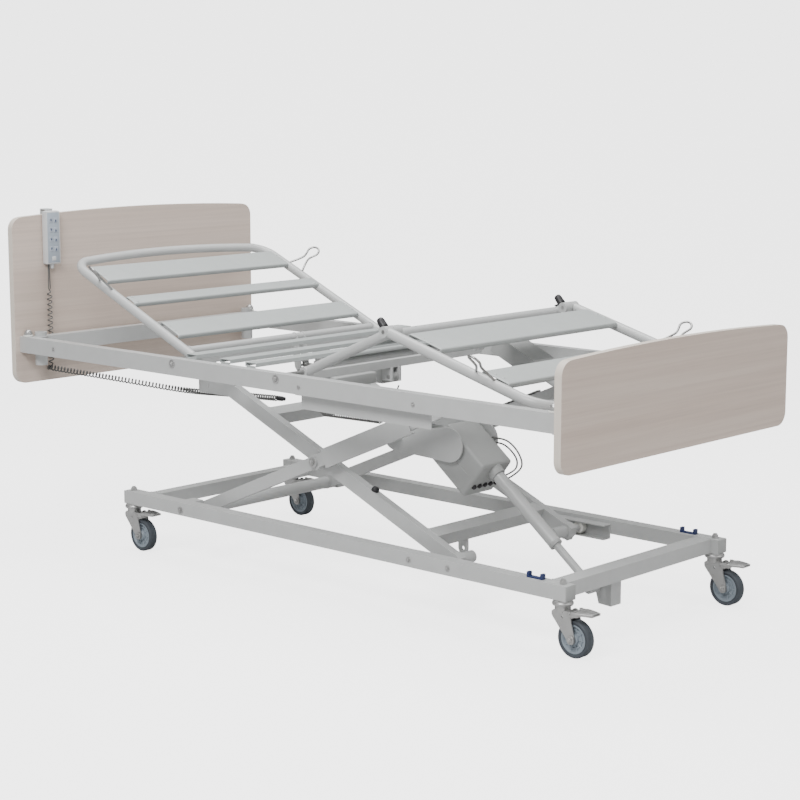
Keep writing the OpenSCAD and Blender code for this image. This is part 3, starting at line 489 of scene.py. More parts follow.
def curved(points, steps=10):
    """Smooth path through the points (Catmull-Rom)."""
    points = [Vector(p) for p in points]
    padded = [points[0] * 2 - points[1]] + points + [points[-1] * 2 - points[-2]]
    path = []
    for i in range(1, len(padded) - 2):
        a, b, c, d = padded[i - 1:i + 3]
        for k in range(steps):
            t = k / steps
            path.append(0.5 * (2 * b + (c - a) * t + (2 * a - 5 * b + 4 * c - d) * t * t
                               + (3 * b - a - 3 * c + d) * t ** 3))
    path.append(points[-1])
    return path


def coil(path, radius, turns, steps=14):
    """Helix round a smooth path."""
    path = curved(path, 24)
    total = turns * steps
    spots = []
    side = None
    for i in range(total + 1):
        where = i / total * (len(path) - 1)
        low = min(int(where), len(path) - 2)
        point = path[low].lerp(path[low + 1], where - low)
        tangent = (path[low + 1] - path[low]).normalized()
        if side is None:
            side = tangent.orthogonal()
        side = (side - tangent * side.dot(tangent)).normalized()
        other = tangent.cross(side)
        turn = 2 * math.pi * i / steps
        ease = min(1.0, i / steps, (total - i) / steps)
        spots.append(point + (side * math.cos(turn) + other * math.sin(turn)) * radius * ease)
    return spots


# ---------------------------------------------------------------- casters


def wheel(corner):
    """Rounded tyre and ribbed hub of one caster."""
    axle = pivot(f"wheel_{corner}")
    low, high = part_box(f"tyre_{corner}")
    radius = (high.x - low.x) / 2
    half = 14 * MM
    inner = radius - 12 * MM
    tread = [(-half + 3 * MM, inner)]
    tread += [(a, b) for a, b in arc((-half + 6 * MM, radius - 6 * MM), 6 * MM, 180, 100, 6)]
    tread += [(-4 * MM, radius - 0.3 * MM), (4 * MM, radius - 0.3 * MM)]
    tread += [(a, b) for a, b in arc((half - 6 * MM, radius - 6 * MM), 6 * MM, 80, 0, 6)]
    tread += [(half - 3 * MM, inner)]
    tyre = Shape().lathe(axle, Y_AXIS, tread, 64, hollow=True)
    tyre.piece(f"tyre_rubber_{corner}", f"wheel_{corner}", TYRE, "tyre", [f"tyre_{corner}"])
    rim = inner - 0.2 * MM
    dish = [(-16, 6), (-16, 13), (-14, 15), (-7, 16), (-6, 18), (-6, 22), (-8.5, 23), (-8.5, 25), (-6, 26),
            (-6.5, 31), (-10, 33), (-12, 34.5), (-12, rim / MM)]
    profile = in_metres(dish)
    profile += [(-a, b) for a, b in reversed(profile)]
    hub = Shape().lathe(axle, Y_AXIS, profile, 48, hollow=True)
    for rib in range(10):
        turn = 2 * math.pi * rib / 10
        out = Vector((math.cos(turn), 0, math.sin(turn)))
        for side in (-1, 1):
            start = axle + out * 16 * MM + Y_AXIS * side * 7.4 * MM
            hub.sweep([start, axle + out * 33 * MM + Y_AXIS * side * 8.2 * MM], 1.5 * MM, 6)
    hub.piece(f"hub_{corner}", f"wheel_{corner}", HUB, "hub_plastic", [f"wheel_hub_{corner}"])


def caster_bearing(corner):
    """Swivel bearing cup above the fork and the nuts of the wheel's axle."""
    swivel = pivot(f"swivel_{corner}")
    axle = pivot(f"wheel_{corner}")
    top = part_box(f"caster_fork_{corner}")[1].z
    cup = [(-13, 21), (-13, 26), (-11, 27.5), (-8, 28), (-5, 27.5), (-3.5, 26), (-3.5, 21)]
    parts = Shape()
    parts.lathe(Vector((swivel.x, swivel.y, top)), Z_AXIS, in_metres(cup), 40, hollow=True)
    for side in (-1, 1):
        parts.hex_bolt(axle + Y_AXIS * side * 23.4 * MM, Y_AXIS * side, 12 * MM)
    parts.piece(f"caster_bearing_{corner}", f"fork_{corner}", ZINC, "zinc", bevel=0.3 * MM)


def pedal_tread(corner):
    """Tapering wedge on the pedal with raised grip lines, and the heads of its pin."""
    middle = pivot(f"swivel_{corner}").y
    brake = pivot(f"pedal_{corner}")
    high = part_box(f"caster_pedal_{corner}")[1]
    top_z, tip_x = high.z + 2.5 * MM, high.x
    # Distance back from the tip, half width and depth of each station
    stations = ((46, 25, 9), (40, 25.5, 10), (16, 20, 8.5), (3, 15, 6.5), (0, 12.5, 5.0))
    wedge = []
    for back, half, depth in stations:
        x, half, low_z = tip_x - back * MM, half * MM, top_z - depth * MM
        ring = [(-half, low_z), (half, low_z), (half * 0.92, top_z), (-half * 0.92, top_z)]
        wedge.append([Vector((x, middle + y, z)) for y, z in ring])
    tread = Shape()
    tread.rings(wedge)
    for row in range(4):
        x = tip_x - (9 + row * 8) * MM
        reach = (12 + row * 1.6) * MM
        tread.sweep([(x, middle - reach, top_z), (x, middle + reach, top_z)], 1.3 * MM, 8)
    for side in (-1, 1):
        tread.hex_bolt(brake + Y_AXIS * side * 27.2 * MM, Y_AXIS * side, 7 * MM, 2.2 * MM)
    tread.piece(f"pedal_tread_{corner}", f"pedal_{corner}", ZINC, "zinc", bevel=1.2 * MM)


def caster(corner):
    """Fork, bearing, pedal and wheel of one corner."""
    dress(f"caster_fork_{corner}", ZINC, 0.8 * MM)
    dress(f"caster_pedal_{corner}", ZINC, 0.8 * MM)
    caster_bearing(corner)
    pedal_tread(corner)
    wheel(corner)


# ---------------------------------------------------------------- boards and platform


def boards():
    """Laminate and softly rounded edges of both end boards."""
    for node in ("headboard", "footboard"):
        dress(node, BOARD, 3.5 * MM)
        frame["nodes"][node].modifiers["rounding"].segments = 4


def knobs():
    """Domed bolts on washers with a light sleeve, which hold the boards."""
    low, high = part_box("board_knobs")
    dress("board_knobs", ZINC, 0.8 * MM)
    domes = Shape()
    sleeves = Shape()
    dome = [(-0.5, 11.0), (3.0, 10.6), (6.5, 8.4), (8.8, 4.6), (9.4, 1.0)]
    sleeve = [(0.0, 11.2), (0.0, 14.2), (1.2, 15.0), (4.2, 15.0), (5.0, 14.2), (5.0, 11.2)]
    for x in (low.x + 13 * MM, high.x - 13 * MM):
        for y in (low.y + 13 * MM, high.y - 13 * MM):
            top = Vector((x, y, high.z - 1 * MM))
            domes.lathe(top, Z_AXIS, in_metres(dome), 28)
            foot = Vector((x, y, high.z - 13.6 * MM))
            sleeves.lathe(foot, Z_AXIS, in_metres(sleeve), 32, hollow=True)
    domes.piece("board_bolt_domes", "platform", ZINC, "zinc")
    sleeves.piece("board_bolt_sleeves", "platform", NYLON, "roller_plastic")


def pressed_slat(name, body, place, along, half, height, depth, node_slot="frame_paint", stands_for=()):
    """Pressed steel slat: crowned top, rolled long edges and folded ends."""
    start, end = along
    roll = 5 * MM
    profile = [(start, height - depth), (start, height - roll)]
    profile += arc((start + roll, height - roll), roll, 180, 90, 5)
    crown = 0.8 * MM
    for i in range(1, 8):
        t = i / 8
        profile.append((start + roll + (end - start - 2 * roll) * t, height + crown * math.sin(math.pi * t)))
    profile += arc((end - roll, height - roll), roll, 90, 0, 5)
    profile.append((end, height - depth))
    shape = Shape(place)
    stations = [(-half, 0.25), (-half + 3 * MM, 0.85), (-half + 8 * MM, 1.0)]
    stations += [(-half + 2 * half * k / 6, 1.0) for k in range(1, 6)]
    stations += [(half - 8 * MM, 1.0), (half - 3 * MM, 0.85), (half, 0.25)]
    rows = []
    for y, share in stations:
        drop = (1 - share) * 2.4 * MM
        rows.append([(a, y, max(b - drop, height - depth)) for a, b in profile])
    count = len(profile)
    faces = []
    for row in range(len(rows) - 1):
        for i in range(count - 1):
            first = row * count + i
            faces.append([first, first + 1, first + count + 1, first + count])
    shape.add([v for row in rows for v in row], faces)
    obj = shape.piece(name, body, SLAT_PAINT, node_slot, stands_for)
    skin = obj.modifiers.new("sheet", "SOLIDIFY")
    skin.thickness = 1.8 * MM
    skin.offset = -1
    return obj


def section_slats():
    """The pressed slats of the three moving sections and the seat."""
    top = TUBE_R + 3.3 * MM
    rows = [
        ("backrest", BACKREST, [(104, 190, 384), (309, 355, 392), (457, 551, 384)], "backrest_slats"),
        ("thigh", THIGH, [(24, 100, 352), (190, 276, 352)], "thigh_slats"),
        ("calf", CALF, [(62, 180, 384), (332, 424, 392)], "calf_slats"),
    ]
    for body, place, slats, node in rows:
        for index, (start, end, half) in enumerate(slats):
            stands_for = [node] if index == 0 else ()
            span = (start * MM, end * MM)
            name = f"{body}_slat_{index + 1}"
            pressed_slat(name, body, place, span, half * MM, top, 14 * MM, stands_for=stands_for)
    dress("seat_slats", SLAT_PAINT, 1.0 * MM)


def wire_loop(height, foot, head):
    """Keyhole outline of a mattress retainer, in (along, up)."""
    neck = head * 0.55
    shoulder = height - head * 1.35
    points = [(-foot, 0.0), (-foot * 0.55, height * 0.28), (-neck, height * 0.50), (-head * 0.92, shoulder)]
    points += arc((0, height - head), head, 190, -10, 14)
    points += [(head * 0.92, shoulder), (neck, height * 0.50), (foot * 0.55, height * 0.28), (foot, 0.0)]
    return points


def retainers():
    """Bent wire loops on both sides of the backrest and the calf section."""
    rows = [
        ("backrest", BACKREST, 440, 98, 32, 20),
        ("calf", CALF, 355, 94, 32, 18),
    ]
    lean = math.radians(50)
    for body, place, along, height, foot, head in rows:
        shape = Shape(place)
        for side in (-1, 1):
            path = []
            for a, b in wire_loop(height * MM, foot * MM, head * MM):
                y = side * (OUTER_BAR_Y + 4 * MM + b * math.sin(lean))
                path.append((along * MM + a, y, TUBE_R - 1 * MM + b * math.cos(lean)))
            shape.sweep(curved(path, 4), 3.4 * MM, 10)
        shape.piece(f"{body}_wire_loops", body, BRIGHT, "zinc", [f"{body}_retainers"])


def rail_bolts():
    """Bolt heads on the outer faces of the platform's side rails."""
    face_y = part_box("platform_frame")[1].y
    bolts = Shape()
    for side in (-1, 1):
        for x, z in ((-900, 622), (180, 618), (600, 618)):
            bolts.hex_bolt((x * MM, side * face_y, z * MM), Y_AXIS * side, 7 * MM, 2.4 * MM)
        for name in ("backrest_raise", "thigh_raise"):
            hinge = pivot(name)
            spot = (hinge.x, side * face_y, hinge.z - 8 * MM)
            bolts.hex_bolt(spot, Y_AXIS * side, 13 * MM, 6 * MM)
    bolts.piece("rail_bolts", "platform", ZINC, "zinc", bevel=0.25 * MM)


def platform_welds():
    """Beads where the cross tubes and the pole sockets meet the side rails."""
    low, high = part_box("platform_frame")
    rail_bottom, rail_top = 598 * MM, 648 * MM
    low_z, high_z, top_z = rail_bottom + 3 * MM, rail_bottom + 25 * MM, rail_bottom + 26 * MM
    inner = high.y - 30 * MM
    tube = 40
    beads = Shape()
    for side in (-1, 1):
        y = side * inner
        for x in (-485, -13, 828):
            for edge in (0, tube):
                where = (x + edge) * MM
                beads.weld_line((where, y, low_z), (where, y, high_z))
            beads.weld_line((x * MM, y, top_z), ((x + tube) * MM, y, top_z))
        socket = Vector((low.x + 45 * MM, side * (inner - 18 * MM), rail_top))
        beads.weld_ring(socket, Z_AXIS, 20 * MM, 1.8 * MM)
    beads.piece("platform_weld_beads", "platform", WELD, "frame_paint")


def cable_box():
    """Moulded box with its lid and a row of plugs on the hidden side."""
    start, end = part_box("cable_box")
    box = Shape()
    box.box(start, end, 4 * MM, 3)
    lid_end = Vector((end.x - 4 * MM, end.y - 4 * MM, start.z + 2 * MM))
    box.box(start + Vector((4, 4, -1.5)) * MM, lid_end, 1 * MM)
    box.piece("cable_box_shell", "platform", HOUSING, "grey_plastic", ["cable_box"])
    plugs = Shape()
    plug = in_metres([(0, 6), (8, 5.4), (9, 3.4)])
    for index in range(5):
        y = start.y + (24 + index * 30) * MM
        plugs.lathe((start.x + 2 * MM, y, start.z + 13 * MM), -X_AXIS, plug, 18)
    plugs.piece("cable_box_plugs", "platform", BLACK, "black_plastic")


def platform():
    """Welded upper frame with its tracks, pins, bolts, beads and cable box."""
    dress("platform_frame", PAINT, 1.6 * MM)
    dress("upper_tracks", PAINT, 0.8 * MM)
    dress("platform_pivot_pins", BRIGHT, 0.6 * MM)
    rail_bolts()
    platform_welds()
    cable_box()


# ---------------------------------------------------------------- chassis and legs


def chassis():
    """Welded lower frame with its tracks, clips, stems, end caps, beads and bolts."""
    dress("chassis_frame", PAINT, 1.8 * MM)
    dress("base_tracks", PAINT, 0.8 * MM)
    dress("rail_clips", NAVY, 1.0 * MM)
    dress("caster_stems", ZINC, 0.5 * MM)
    dress("lower_pivot_pins", BRIGHT, 0.6 * MM)
    low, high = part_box("chassis_frame")
    hinge = pivot("lift")
    top = hinge.z + 32 * MM
    bottom = top - 40 * MM
    inner = high.y - 40 * MM
    caps = Shape()
    for side in (-1, 1):
        centre_y = side * (high.y - 20 * MM)
        for x, way in ((low.x, -1), (high.x, 1)):
            near, far = sorted((x, x + way * 2.5 * MM))
            first = (near, centre_y - 19.4 * MM, bottom + 0.6 * MM)
            last = (far, centre_y + 19.4 * MM, top - 0.6 * MM)
            caps.box(first, last, 1 * MM)
    caps.piece("rail_end_caps", "chassis", HOUSING, "grey_plastic")
    beads = Shape()
    for side in (-1, 1):
        y = side * inner
        for x in (-647, -607, 931, 981):
            beads.weld_line((x * MM, y, top), (x * MM, y, bottom))
        for x0, x1 in ((-647, -607), (931, 981)):
            beads.weld_line((x0 * MM, y, top), (x1 * MM, y, top))
    beads.piece("chassis_weld_beads", "chassis", WELD, "frame_paint")
    bolts = Shape()
    for side in (-1, 1):
        for x in (470, 610):
            spot = (x * MM, side * high.y, top - 20 * MM)
            bolts.hex_bolt(spot, Y_AXIS * side, 9 * MM, 4 * MM)
        bolts.hex_bolt((hinge.x, side * high.y, hinge.z + 8 * MM), Y_AXIS * side, 12 * MM, 5 * MM)
    bolts.piece("chassis_bolts", "chassis", ZINC, "zinc", bevel=0.25 * MM)


def leg_fasteners():
    """Bolts at the scissor's centre and clips outside the upper rollers."""
    middle = pivot("scissor_centre")
    bolts = Shape()
    for side in (-1, 1):
        bolts.hex_bolt((middle.x, side * 294 * MM, middle.z), Y_AXIS * side, 16 * MM, 8 * MM)
    bolts.piece("scissor_bolts", "outer_legs", ZINC, "zinc", bevel=0.4 * MM)
    clips = Shape()
    roller = pivot("upper_roller_turn")
    clip = in_metres([(0, 8), (0, 13), (1.6, 13), (1.6, 8)])
    for side in (-1, 1):
        spot = (roller.x, side * 446.5 * MM, roller.z)
        clips.lathe(spot, Y_AXIS * side, clip, 28, hollow=True)
    clips.piece("upper_roller_clips", "outer_legs", ZINC, "zinc")


def leg_stops():
    """Black rubber stops on the inner legs."""
    stops = Shape(INNER_LEG)
    half_leg = (pivot("scissor_centre") - pivot("platform_level")).length
    bulb = [(0, 10.4), (1, 11.5), (5, 11.5), (7, 10.6), (9, 9.8), (11, 8.2), (12.4, 5.6), (13, 2.4)]
    for side in (-1, 1):
        seat = Vector((half_leg + 207 * MM, side * 245.5 * MM, 20.4 * MM))
        stops.lathe(seat, Z_AXIS, in_metres(bulb), 28)
    stops.piece("leg_stop_bulbs", "inner_legs", BLACK, "black_plastic", ["leg_plugs"])


def leg_welds():
    """Beads round the cross tubes of both pairs of legs."""
    half = 20 * MM
    bead = 2 * MM
    beads = Shape(INNER_LEG)
    for along in (290 * MM, 975 * MM):
        for side in (-1, 1):
            face = side * 232.6 * MM
            for edge in (-half, half):
                beads.weld_line((along + edge, face, -half), (along + edge, face, half), bead)
                beads.weld_line((along - half, face, edge), (along + half, face, edge), bead)
    beads.piece("inner_leg_beads", "inner_legs", WELD, "frame_paint")
    seams = Shape(OUTER_LEG)
    for side in (-1, 1):
        face = side * 262.6 * MM
        for edge in (-half, half):
            seams.weld_line((780 * MM, face, edge), (820 * MM, face, edge), bead)
        seams.weld_ring((0, face, 0), Y_AXIS, 19.5 * MM, bead)
    seams.piece("outer_leg_beads", "outer_legs", WELD, "frame_paint")


def legs():
    """Scissor legs with their covers, rollers, fasteners, stops and beads."""
    dress("outer_legs", PAINT, 1.4 * MM)
    dress("inner_legs", PAINT, 1.6 * MM)
    dress("leg_covers", PAINT, 1.0 * MM)
    dress("upper_rollers", NYLON, 1.0 * MM)
    dress("lower_rollers", NYLON, 1.0 * MM)
    leg_fasteners()
    leg_stops()
    leg_welds()


# ---------------------------------------------------------------- sections


def knee_grips():
    """Black rubber grips that lean over both knee hinges."""
    caps = Shape(THIGH)
    knee = (pivot("knee") - pivot("thigh_raise")).length
    lean = Vector((-0.31, 0, 0.95))
    grip = in_metres([(0, 11.4), (2, 12), (5, 11.6), (20, 11.0), (26, 9.8), (29, 7.2), (30, 3.0)])
    for side in (-1, 1):
        seat = Vector((knee - 20 * MM, side * 382 * MM, TUBE_R + 3 * MM))
        caps.lathe(seat, lean, grip, 28)
        near, far = sorted((side * 360 * MM, side * 394 * MM))
        caps.box((knee - 32 * MM, near, TUBE_R), (knee - 8 * MM, far, TUBE_R + 4 * MM), 1.2 * MM)
    caps.piece("knee_grips", "thigh", BLACK, "black_plastic", ["knee_caps"])


def slat_rivets():
    """Pairs of rivets that hold each slat's ends."""
    dome = in_metres([(0, 5.2), (0.9, 4.9), (1.9, 3.4), (2.3, 1.2)])
    for body, place, spots in (
        ("backrest", BACKREST, [(147, 400), (332, 400), (504, 400)]),
        ("thigh", THIGH, [(62, 368), (233, 368)]),
        ("calf", CALF, [(121, 400), (378, 400)]),
    ):
        rivets = Shape(place)
        for along, across in spots:
            for side in (-1, 1):
                for shift in (-14, 14):
                    spot = ((along + shift) * MM, side * (across - 24) * MM, TUBE_R + 3.6 * MM)
                    rivets.lathe(spot, Z_AXIS, dome, 16)
        rivets.piece(f"{body}_rivets", body, SLAT_PAINT, "frame_paint")


def sections():
    """Frames, slats, retainers, grips and rivets of the three moving sections."""
    for node in ("backrest_frame", "thigh_frame", "calf_frame"):
        dress(node, PAINT, 0.8 * MM)
    dress("knee_pins", BRIGHT, 0.6 * MM)
    section_slats()
    retainers()
    knee_grips()
    slat_rivets()
    beads = Shape(BACKREST)
    for side in (-1, 1):
        beads.weld_ring((44 * MM, side * 387 * MM, 0), Y_AXIS, 12 * MM, 1.8 * MM)
    beads.piece("backrest_weld_beads", "backrest", WELD, "frame_paint")


# ---------------------------------------------------------------- actuators


def actuator_frame(foot, slide_axis):
    """Matrix with local x along the actuator from its rod pin to its top."""
    along = Vector(slide_axis).normalized()
    normal = along.cross(Y_AXIS)
    return Matrix.Translation(foot) @ Matrix((along, Y_AXIS, normal)).transposed().to_4x4()


def lift_frame():
    """Local frame of the lift actuator."""
    return actuator_frame(pivot("hilo_tilt"), JOINTS["hilo_stroke"]["axis"])


def lift_housing():
    """Moulded motor housing with cooling ribs and a row of cable sockets."""
    place = lift_frame()
    start, end = LIFT_LENGTH - 130 * MM, LIFT_LENGTH + 40 * MM
    shell = Shape(place)
    shell.box((start, -64 * MM, -28 * MM), (end, 60 * MM, 92 * MM), 9 * MM, 4)
    shell.box((start + 8 * MM, -61 * MM, 20 * MM), (end - 8 * MM, 57 * MM, 24 * MM), 1 * MM)
    for near, far in ((-64.8, -60), (56, 60.8)):
        panel_end = (end - 20 * MM, far * MM, 84 * MM)
        shell.box((start + 20 * MM, near * MM, 30 * MM), panel_end, 2 * MM, 3)
    neck = [(0, 18.6), (0, 21.5), (1.5, 23), (18, 24.6), (22, 24.8), (22, 18.6)]
    shell.lathe((LIFT_LENGTH - 150 * MM, 0, 0), X_AXIS, in_metres(neck), 40, hollow=True)
    shell.piece("lift_housing_shell", "hilo_tube", HOUSING, "grey_plastic", ["hilo_housing"])
    ribs = Shape(place)
    for row in range(6):
        x = start + (34 + row * 18) * MM
        ribs.box((x, -50 * MM, 90.5 * MM), (x + 8 * MM, 46 * MM, 93.2 * MM), 1 * MM)
    ribs.piece("lift_housing_ribs", "hilo_tube", HOUSING, "grey_plastic")
    sockets = Shape(place)
    socket = in_metres([(0, 7.5), (3, 7.5), (4, 6.4), (7, 6.0), (8, 3.0)])
    for index in range(5):
        base = Vector((start + 1 * MM, (-48 + index * 23) * MM, 52 * MM))
        sockets.lathe(base, -X_AXIS, socket, 22)
    sockets.piece("lift_cable_sockets", "hilo_tube", BLACK, "black_plastic")


def lift_actuator():
    """Lift actuator: housing, tube with its collar, rod and the nut of its foot pin."""
    dress("hilo_rod", WELD, 0.8 * MM)
    dress("hilo_tube", PAINT, 0.8 * MM)
    lift_housing()
    collar = Shape(lift_frame())
    ring = in_metres([(0, 11.6), (0, 17.4), (1, 18.7), (9, 18.7), (10, 18.2), (10, 11.6)])
    collar.lathe((LIFT_LENGTH - 409 * MM, 0, 0), X_AXIS, ring, 40, hollow=True)
    collar.piece("lift_tube_collar", "hilo_tube", HOUSING, "grey_plastic")
    foot = pivot("hilo_tilt")
    nuts = Shape()
    nuts.hex_bolt(Vector((foot.x, -89 * MM, foot.z)), Y_AXIS, 11 * MM, 5 * MM)
    nuts.piece("lift_bracket_nuts", "chassis", ZINC, "zinc", bevel=0.3 * MM)


def section_actuators():
    """The backrest and knee actuators under the platform."""
    for motor, rod in (("backrest_motor", "backrest_rod"), ("knee_motor", "knee_rod")):
        dress(rod, BRIGHT, 0.8 * MM)
        dress(motor, HOUSING, 2.0 * MM)


# ---------------------------------------------------------------- handset and cables


def handset_case():
    """Two rounded shells, the strain relief and the hook over the board."""
    low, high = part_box("handset_shell")
    panel_low, panel_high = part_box("handset_panel")
    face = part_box("headboard")[1].x
    middle = (low.y + high.y) / 2
    top = panel_high.z + 5.3 * MM
    bottom = panel_low.z - 5.3 * MM
    back = face - 25 * MM
    near, far = middle - 14 * MM, middle + 14 * MM
    inset = 1.5 * MM
    shell = Shape()
    shell.box((face + 0.4 * MM, low.y, bottom), (face + 22 * MM, high.y, top), 6 * MM, 4)
    front_low = (face + 18 * MM, low.y + inset, bottom + inset)
    shell.box(front_low, (high.x, high.y - inset, top - inset), 1.8 * MM, 3)
    relief = in_metres([(0, 8), (4, 7.6), (14, 5.4), (16, 4.6)])
    shell.lathe((face + 12 * MM, middle, bottom + 2 * MM), -Z_AXIS, relief, 24)
    shell.box((back, near, high.z - 3.5 * MM), (face + 5 * MM, far, high.z), 1.4 * MM)
    shell.box((back, near, high.z - 30 * MM), (face - 22.3 * MM, far, high.z), 1 * MM)
    shell.box((face + 0.3 * MM, near, top - 6 * MM), (face + 4 * MM, far, high.z), 1 * MM)
    shell.piece("handset_case", "platform", CASE, "handset_plastic", ["handset_shell"])
    film = Shape()
    film_low = panel_low + Vector((1.5, 0, 0)) * MM
    film.box(film_low, (high.x + 0.6 * MM, panel_high.y, panel_high.z), 0.5 * MM)
    film.piece("handset_front_film", "platform", FILM, "handset_panel", ["handset_panel"])


def rocker_key(number):
    """Rocker key of two pads, with an arrow and a bar printed on each."""
    node = f"handset_key_{number}"
    start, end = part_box(node)
    centre = (start + end) / 2
    key = Shape()
    for side in (-1, 1):
        near, far = sorted((centre.y + side * 1.0 * MM, centre.y + side * 16.8 * MM))
        key.box((start.x, near, start.z), (end.x - 0.6 * MM, far, end.z), 2.2 * MM, 3)
    bridge_low = (start.x, centre.y - 6 * MM, start.z + 2 * MM)
    key.box(bridge_low, (end.x - 3 * MM, centre.y + 6 * MM, end.z - 2 * MM), 0.8 * MM)
    key.piece(f"rocker_key_{number}", f"key_{number}", KEY, "key_plastic", [node])
    marks = Shape()
    under, over = end.x - 0.7 * MM, end.x - 0.25 * MM
    for side in (-1, 1):
        y = centre.y + side * 9 * MM
        left, right = y - 3.4 * MM, y + 3.4 * MM
        tip = side * 3.2 * MM
        bar = centre.z - tip * 1.65
        arrow = [(left, centre.z - tip), (right, centre.z - tip), (y, centre.z + tip)]
        marks.outline(arrow, under, over, axis=0)
        marks.box((under, left, bar - 0.6 * MM), (over, right, bar + 0.6 * MM), 0.1 * MM)
    marks.piece(f"rocker_marks_{number}", f"key_{number}", GLYPH, "black_plastic", flat=True)


def handset():
    """Hand control with its film, four rocker keys and the lock key."""
    handset_case()
    for number in range(1, 5):
        rocker_key(number)
    start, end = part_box("handset_lock_key")
    lock = Shape().box(start, end, 2 * MM, 3)
    lock.piece("lock_key_cap", "lock_key", CASE, "handset_plastic", ["handset_lock_key"])


def handset_cable():
    """Double lead from the handset, hanging coil and the coil that runs on to its plug."""
    low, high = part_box("handset_cable")
    top = Vector((low.x + 8 * MM, low.y + 8 * MM, high.z))
    coil_start = top - Z_AXIS * 78 * MM
    drop = Vector((top.x, top.y, 541 * MM))
    turn = drop + Vector((2, -14, 0)) * MM
    middle = Vector((-620, -205, 493)) * MM
    end = Vector((-240, -160, 503)) * MM
    lead = Shape()
    for side in (-1, 1):
        lead.sweep([top + Y_AXIS * side * 1.8 * MM, coil_start + Y_AXIS * side * 3.4 * MM], 1.7 * MM, 8)
    lead.sweep(coil([coil_start, coil_start.lerp(drop, 0.5), drop], 7.2 * MM, 15), 1.9 * MM, 8)
    lead.sweep(coil([drop, drop + Vector((1, -8, -2)) * MM, turn], 6.4 * MM, 3), 2.0 * MM, 8)
    run = [turn, turn.lerp(middle, 0.5), middle, middle.lerp(end, 0.5), end]
    lead.sweep(coil(run, 7.2 * MM, 84), 2.3 * MM, 8)
    lead.piece("handset_coiled_cable", "platform", CABLE, "cable", ["handset_cable"])
    plug = Shape(section_frame(end, math.radians(2)))
    barrel = [(-6, 6.0), (-4, 7.6), (14, 7.6), (16, 6.2), (24, 6.0), (26, 3.0)]
    plug.lathe((0, 0, 0), X_AXIS, in_metres(barrel), 22)
    plug.piece("handset_cable_plug", "platform", BLACK, "black_plastic")


def route(start, steps):
    """Smooth path from a start through points given as steps from it, in millimetres."""
    return curved([start] + [start + Vector(step) * MM for step in steps])


def actuator_cables():
    """Coil under the near track and the loops that leave the lift actuator's housing."""
    cables = Shape()
    start, end = Vector((31, -250, 501)) * MM, Vector((271, -250, 506)) * MM
    cables.sweep(coil([start, start.lerp(end, 0.5), end], 7.0 * MM, 26), 2.2 * MM, 8)
    cables.sweep(route(start, [(-50, 16, 14), (-92, 40, 50), (-100, 60, 92)]), 2.2 * MM, 8)
    cables.sweep(route(end, [(4, 12, 24), (-8, 50, 54), (-14, 80, 90)]), 2.2 * MM, 8)
    cables.piece("actuator_coiled_cable", "platform", CABLE, "cable")
    loops = Shape(lift_frame())
    face = LIFT_LENGTH - 129 * MM
    for reach, drop in ((26, -24), (14, -8)):
        points = [
            (96, 62, drop), (60, 84, drop - 16), (14, 92, drop - 12),
            (-reach, 74, drop), (4 - reach, 48, 20), (0, 36, 34),
        ]
        path = [Vector((face, 0, 0)) + Vector(point) * MM for point in points]
        loops.sweep(curved(path), 2.6 * MM, 8)
    loops.piece("lift_cable_loops", "hilo_tube", CABLE, "cable")


# ---------------------------------------------------------------- studio


# The camera's turn round the bed, and its lift above the horizon
VIEW_TURN = math.radians(42.69)
VIEW_LIFT = math.radians(9.30)


def floor_look():
    """Pale floor, which glows only for the camera so that it stays bright behind the bed."""
    look = Look("studio_floor")
    cloud = look.noise(1.2, 3.0)
    shade = look.mix(cloud, (0.50, 0.50, 0.50), (0.54, 0.54, 0.54))
    seen = look.node("ShaderNodeLightPath").outputs["Is Camera Ray"]
    glow = look.calc("MULTIPLY", seen, 3.0)
    white = (1.0, 1.0, 1.0, 1.0)
    look.set(Base_Color=shade, Roughness=0.75, Emission_Color=white, Emission_Strength=glow)
    look.bumps((look.noise(300.0, 2.0), 0.00005))
    return look.material


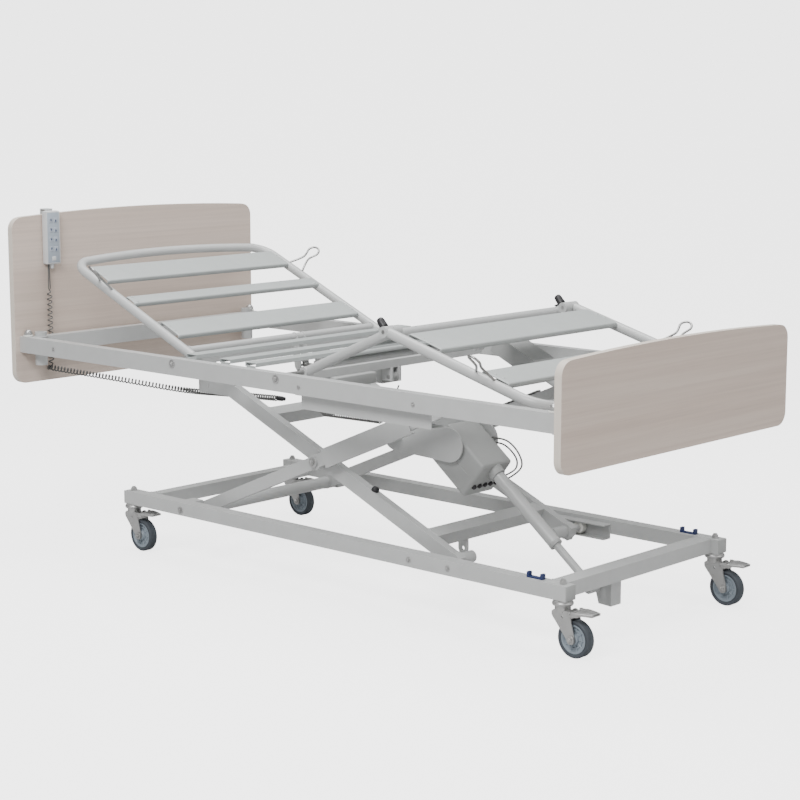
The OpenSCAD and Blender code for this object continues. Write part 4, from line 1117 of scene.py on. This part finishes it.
def floor():
    """Plain pale floor that curves up behind the bed."""
    material = floor_look()
    view_out = Vector((-math.sin(VIEW_TURN), math.cos(VIEW_TURN), 0))
    across = Vector((view_out.y, -view_out.x, 0))
    flat_end, bend, wall_top, half_width = 3.4, 4.0, 9.0, 14.0
    profile = [(-9.0, 0.0), (flat_end, 0.0)]
    for k in range(1, 25):
        turn = math.pi / 2 * k / 24
        profile.append((flat_end + bend * math.sin(turn), bend - bend * math.cos(turn)))
    profile.append((flat_end + bend, wall_top))
    verts, faces = [], []
    for distance, z in profile:
        for reach in (-half_width, half_width):
            spot = view_out * distance + across * reach
            verts.append((spot.x, spot.y, z))
    for i in range(len(profile) - 1):
        faces.append([2 * i, 2 * i + 1, 2 * i + 3, 2 * i + 2])
    mesh = bpy.data.meshes.new("studio_floor")
    mesh.from_pydata(verts, [], faces)
    for face in mesh.polygons:
        face.use_smooth = True
    mesh.materials.append(material)
    obj = bpy.data.objects.new("studio_floor", mesh)
    bpy.context.scene.collection.objects.link(obj)


def lamp(name, place, target, size, power):
    """Soft rectangular light aimed at a point."""
    data = bpy.data.lights.new(name, "AREA")
    data.shape = "RECTANGLE"
    data.size, data.size_y = size
    data.energy = power
    obj = bpy.data.objects.new(name, data)
    bpy.context.scene.collection.objects.link(obj)
    obj.location = place
    obj.rotation_mode = "QUATERNION"
    obj.rotation_quaternion = (Vector(target) - Vector(place)).to_track_quat("-Z", "Y")


def lights():
    """Even sky with three soft lights: key from the near side, fill from the foot end, one from above."""
    world = bpy.data.worlds.new("studio")
    world.use_nodes = True
    background = world.node_tree.nodes["Background"]
    background.inputs["Color"].default_value = (1.0, 1.0, 1.0, 1.0)
    background.inputs["Strength"].default_value = 0.50
    bpy.context.scene.world = world
    lamp("key_softbox", (1.5, -4.0, 4.2), (0, 0, 0.4), (2.6, 2.0), 300)
    lamp("fill_softbox", (4.6, 0.5, 2.6), (0, 0, 0.5), (2.5, 2.5), 60)
    lamp("top_softbox", (-0.5, 0.5, 4.6), (0, 0, 0.3), (3.4, 2.6), 230)


def camera():
    """Low three-quarter view from the near side and the foot end."""
    data = bpy.data.cameras.new("camera")
    data.lens = 87.77
    data.sensor_width = 36
    obj = bpy.data.objects.new("camera", data)
    bpy.context.scene.collection.objects.link(obj)
    obj.location = (3.9284, -4.1453, 1.4405)
    obj.rotation_euler = (math.pi / 2 - VIEW_LIFT, 0, VIEW_TURN)
    bpy.context.scene.camera = obj


for corner_name in CORNERS:
    caster(corner_name)
boards()
knobs()
platform()
chassis()
legs()
sections()
lift_actuator()
section_actuators()
handset()
handset_cable()
actuator_cables()
floor()
lights()
camera()
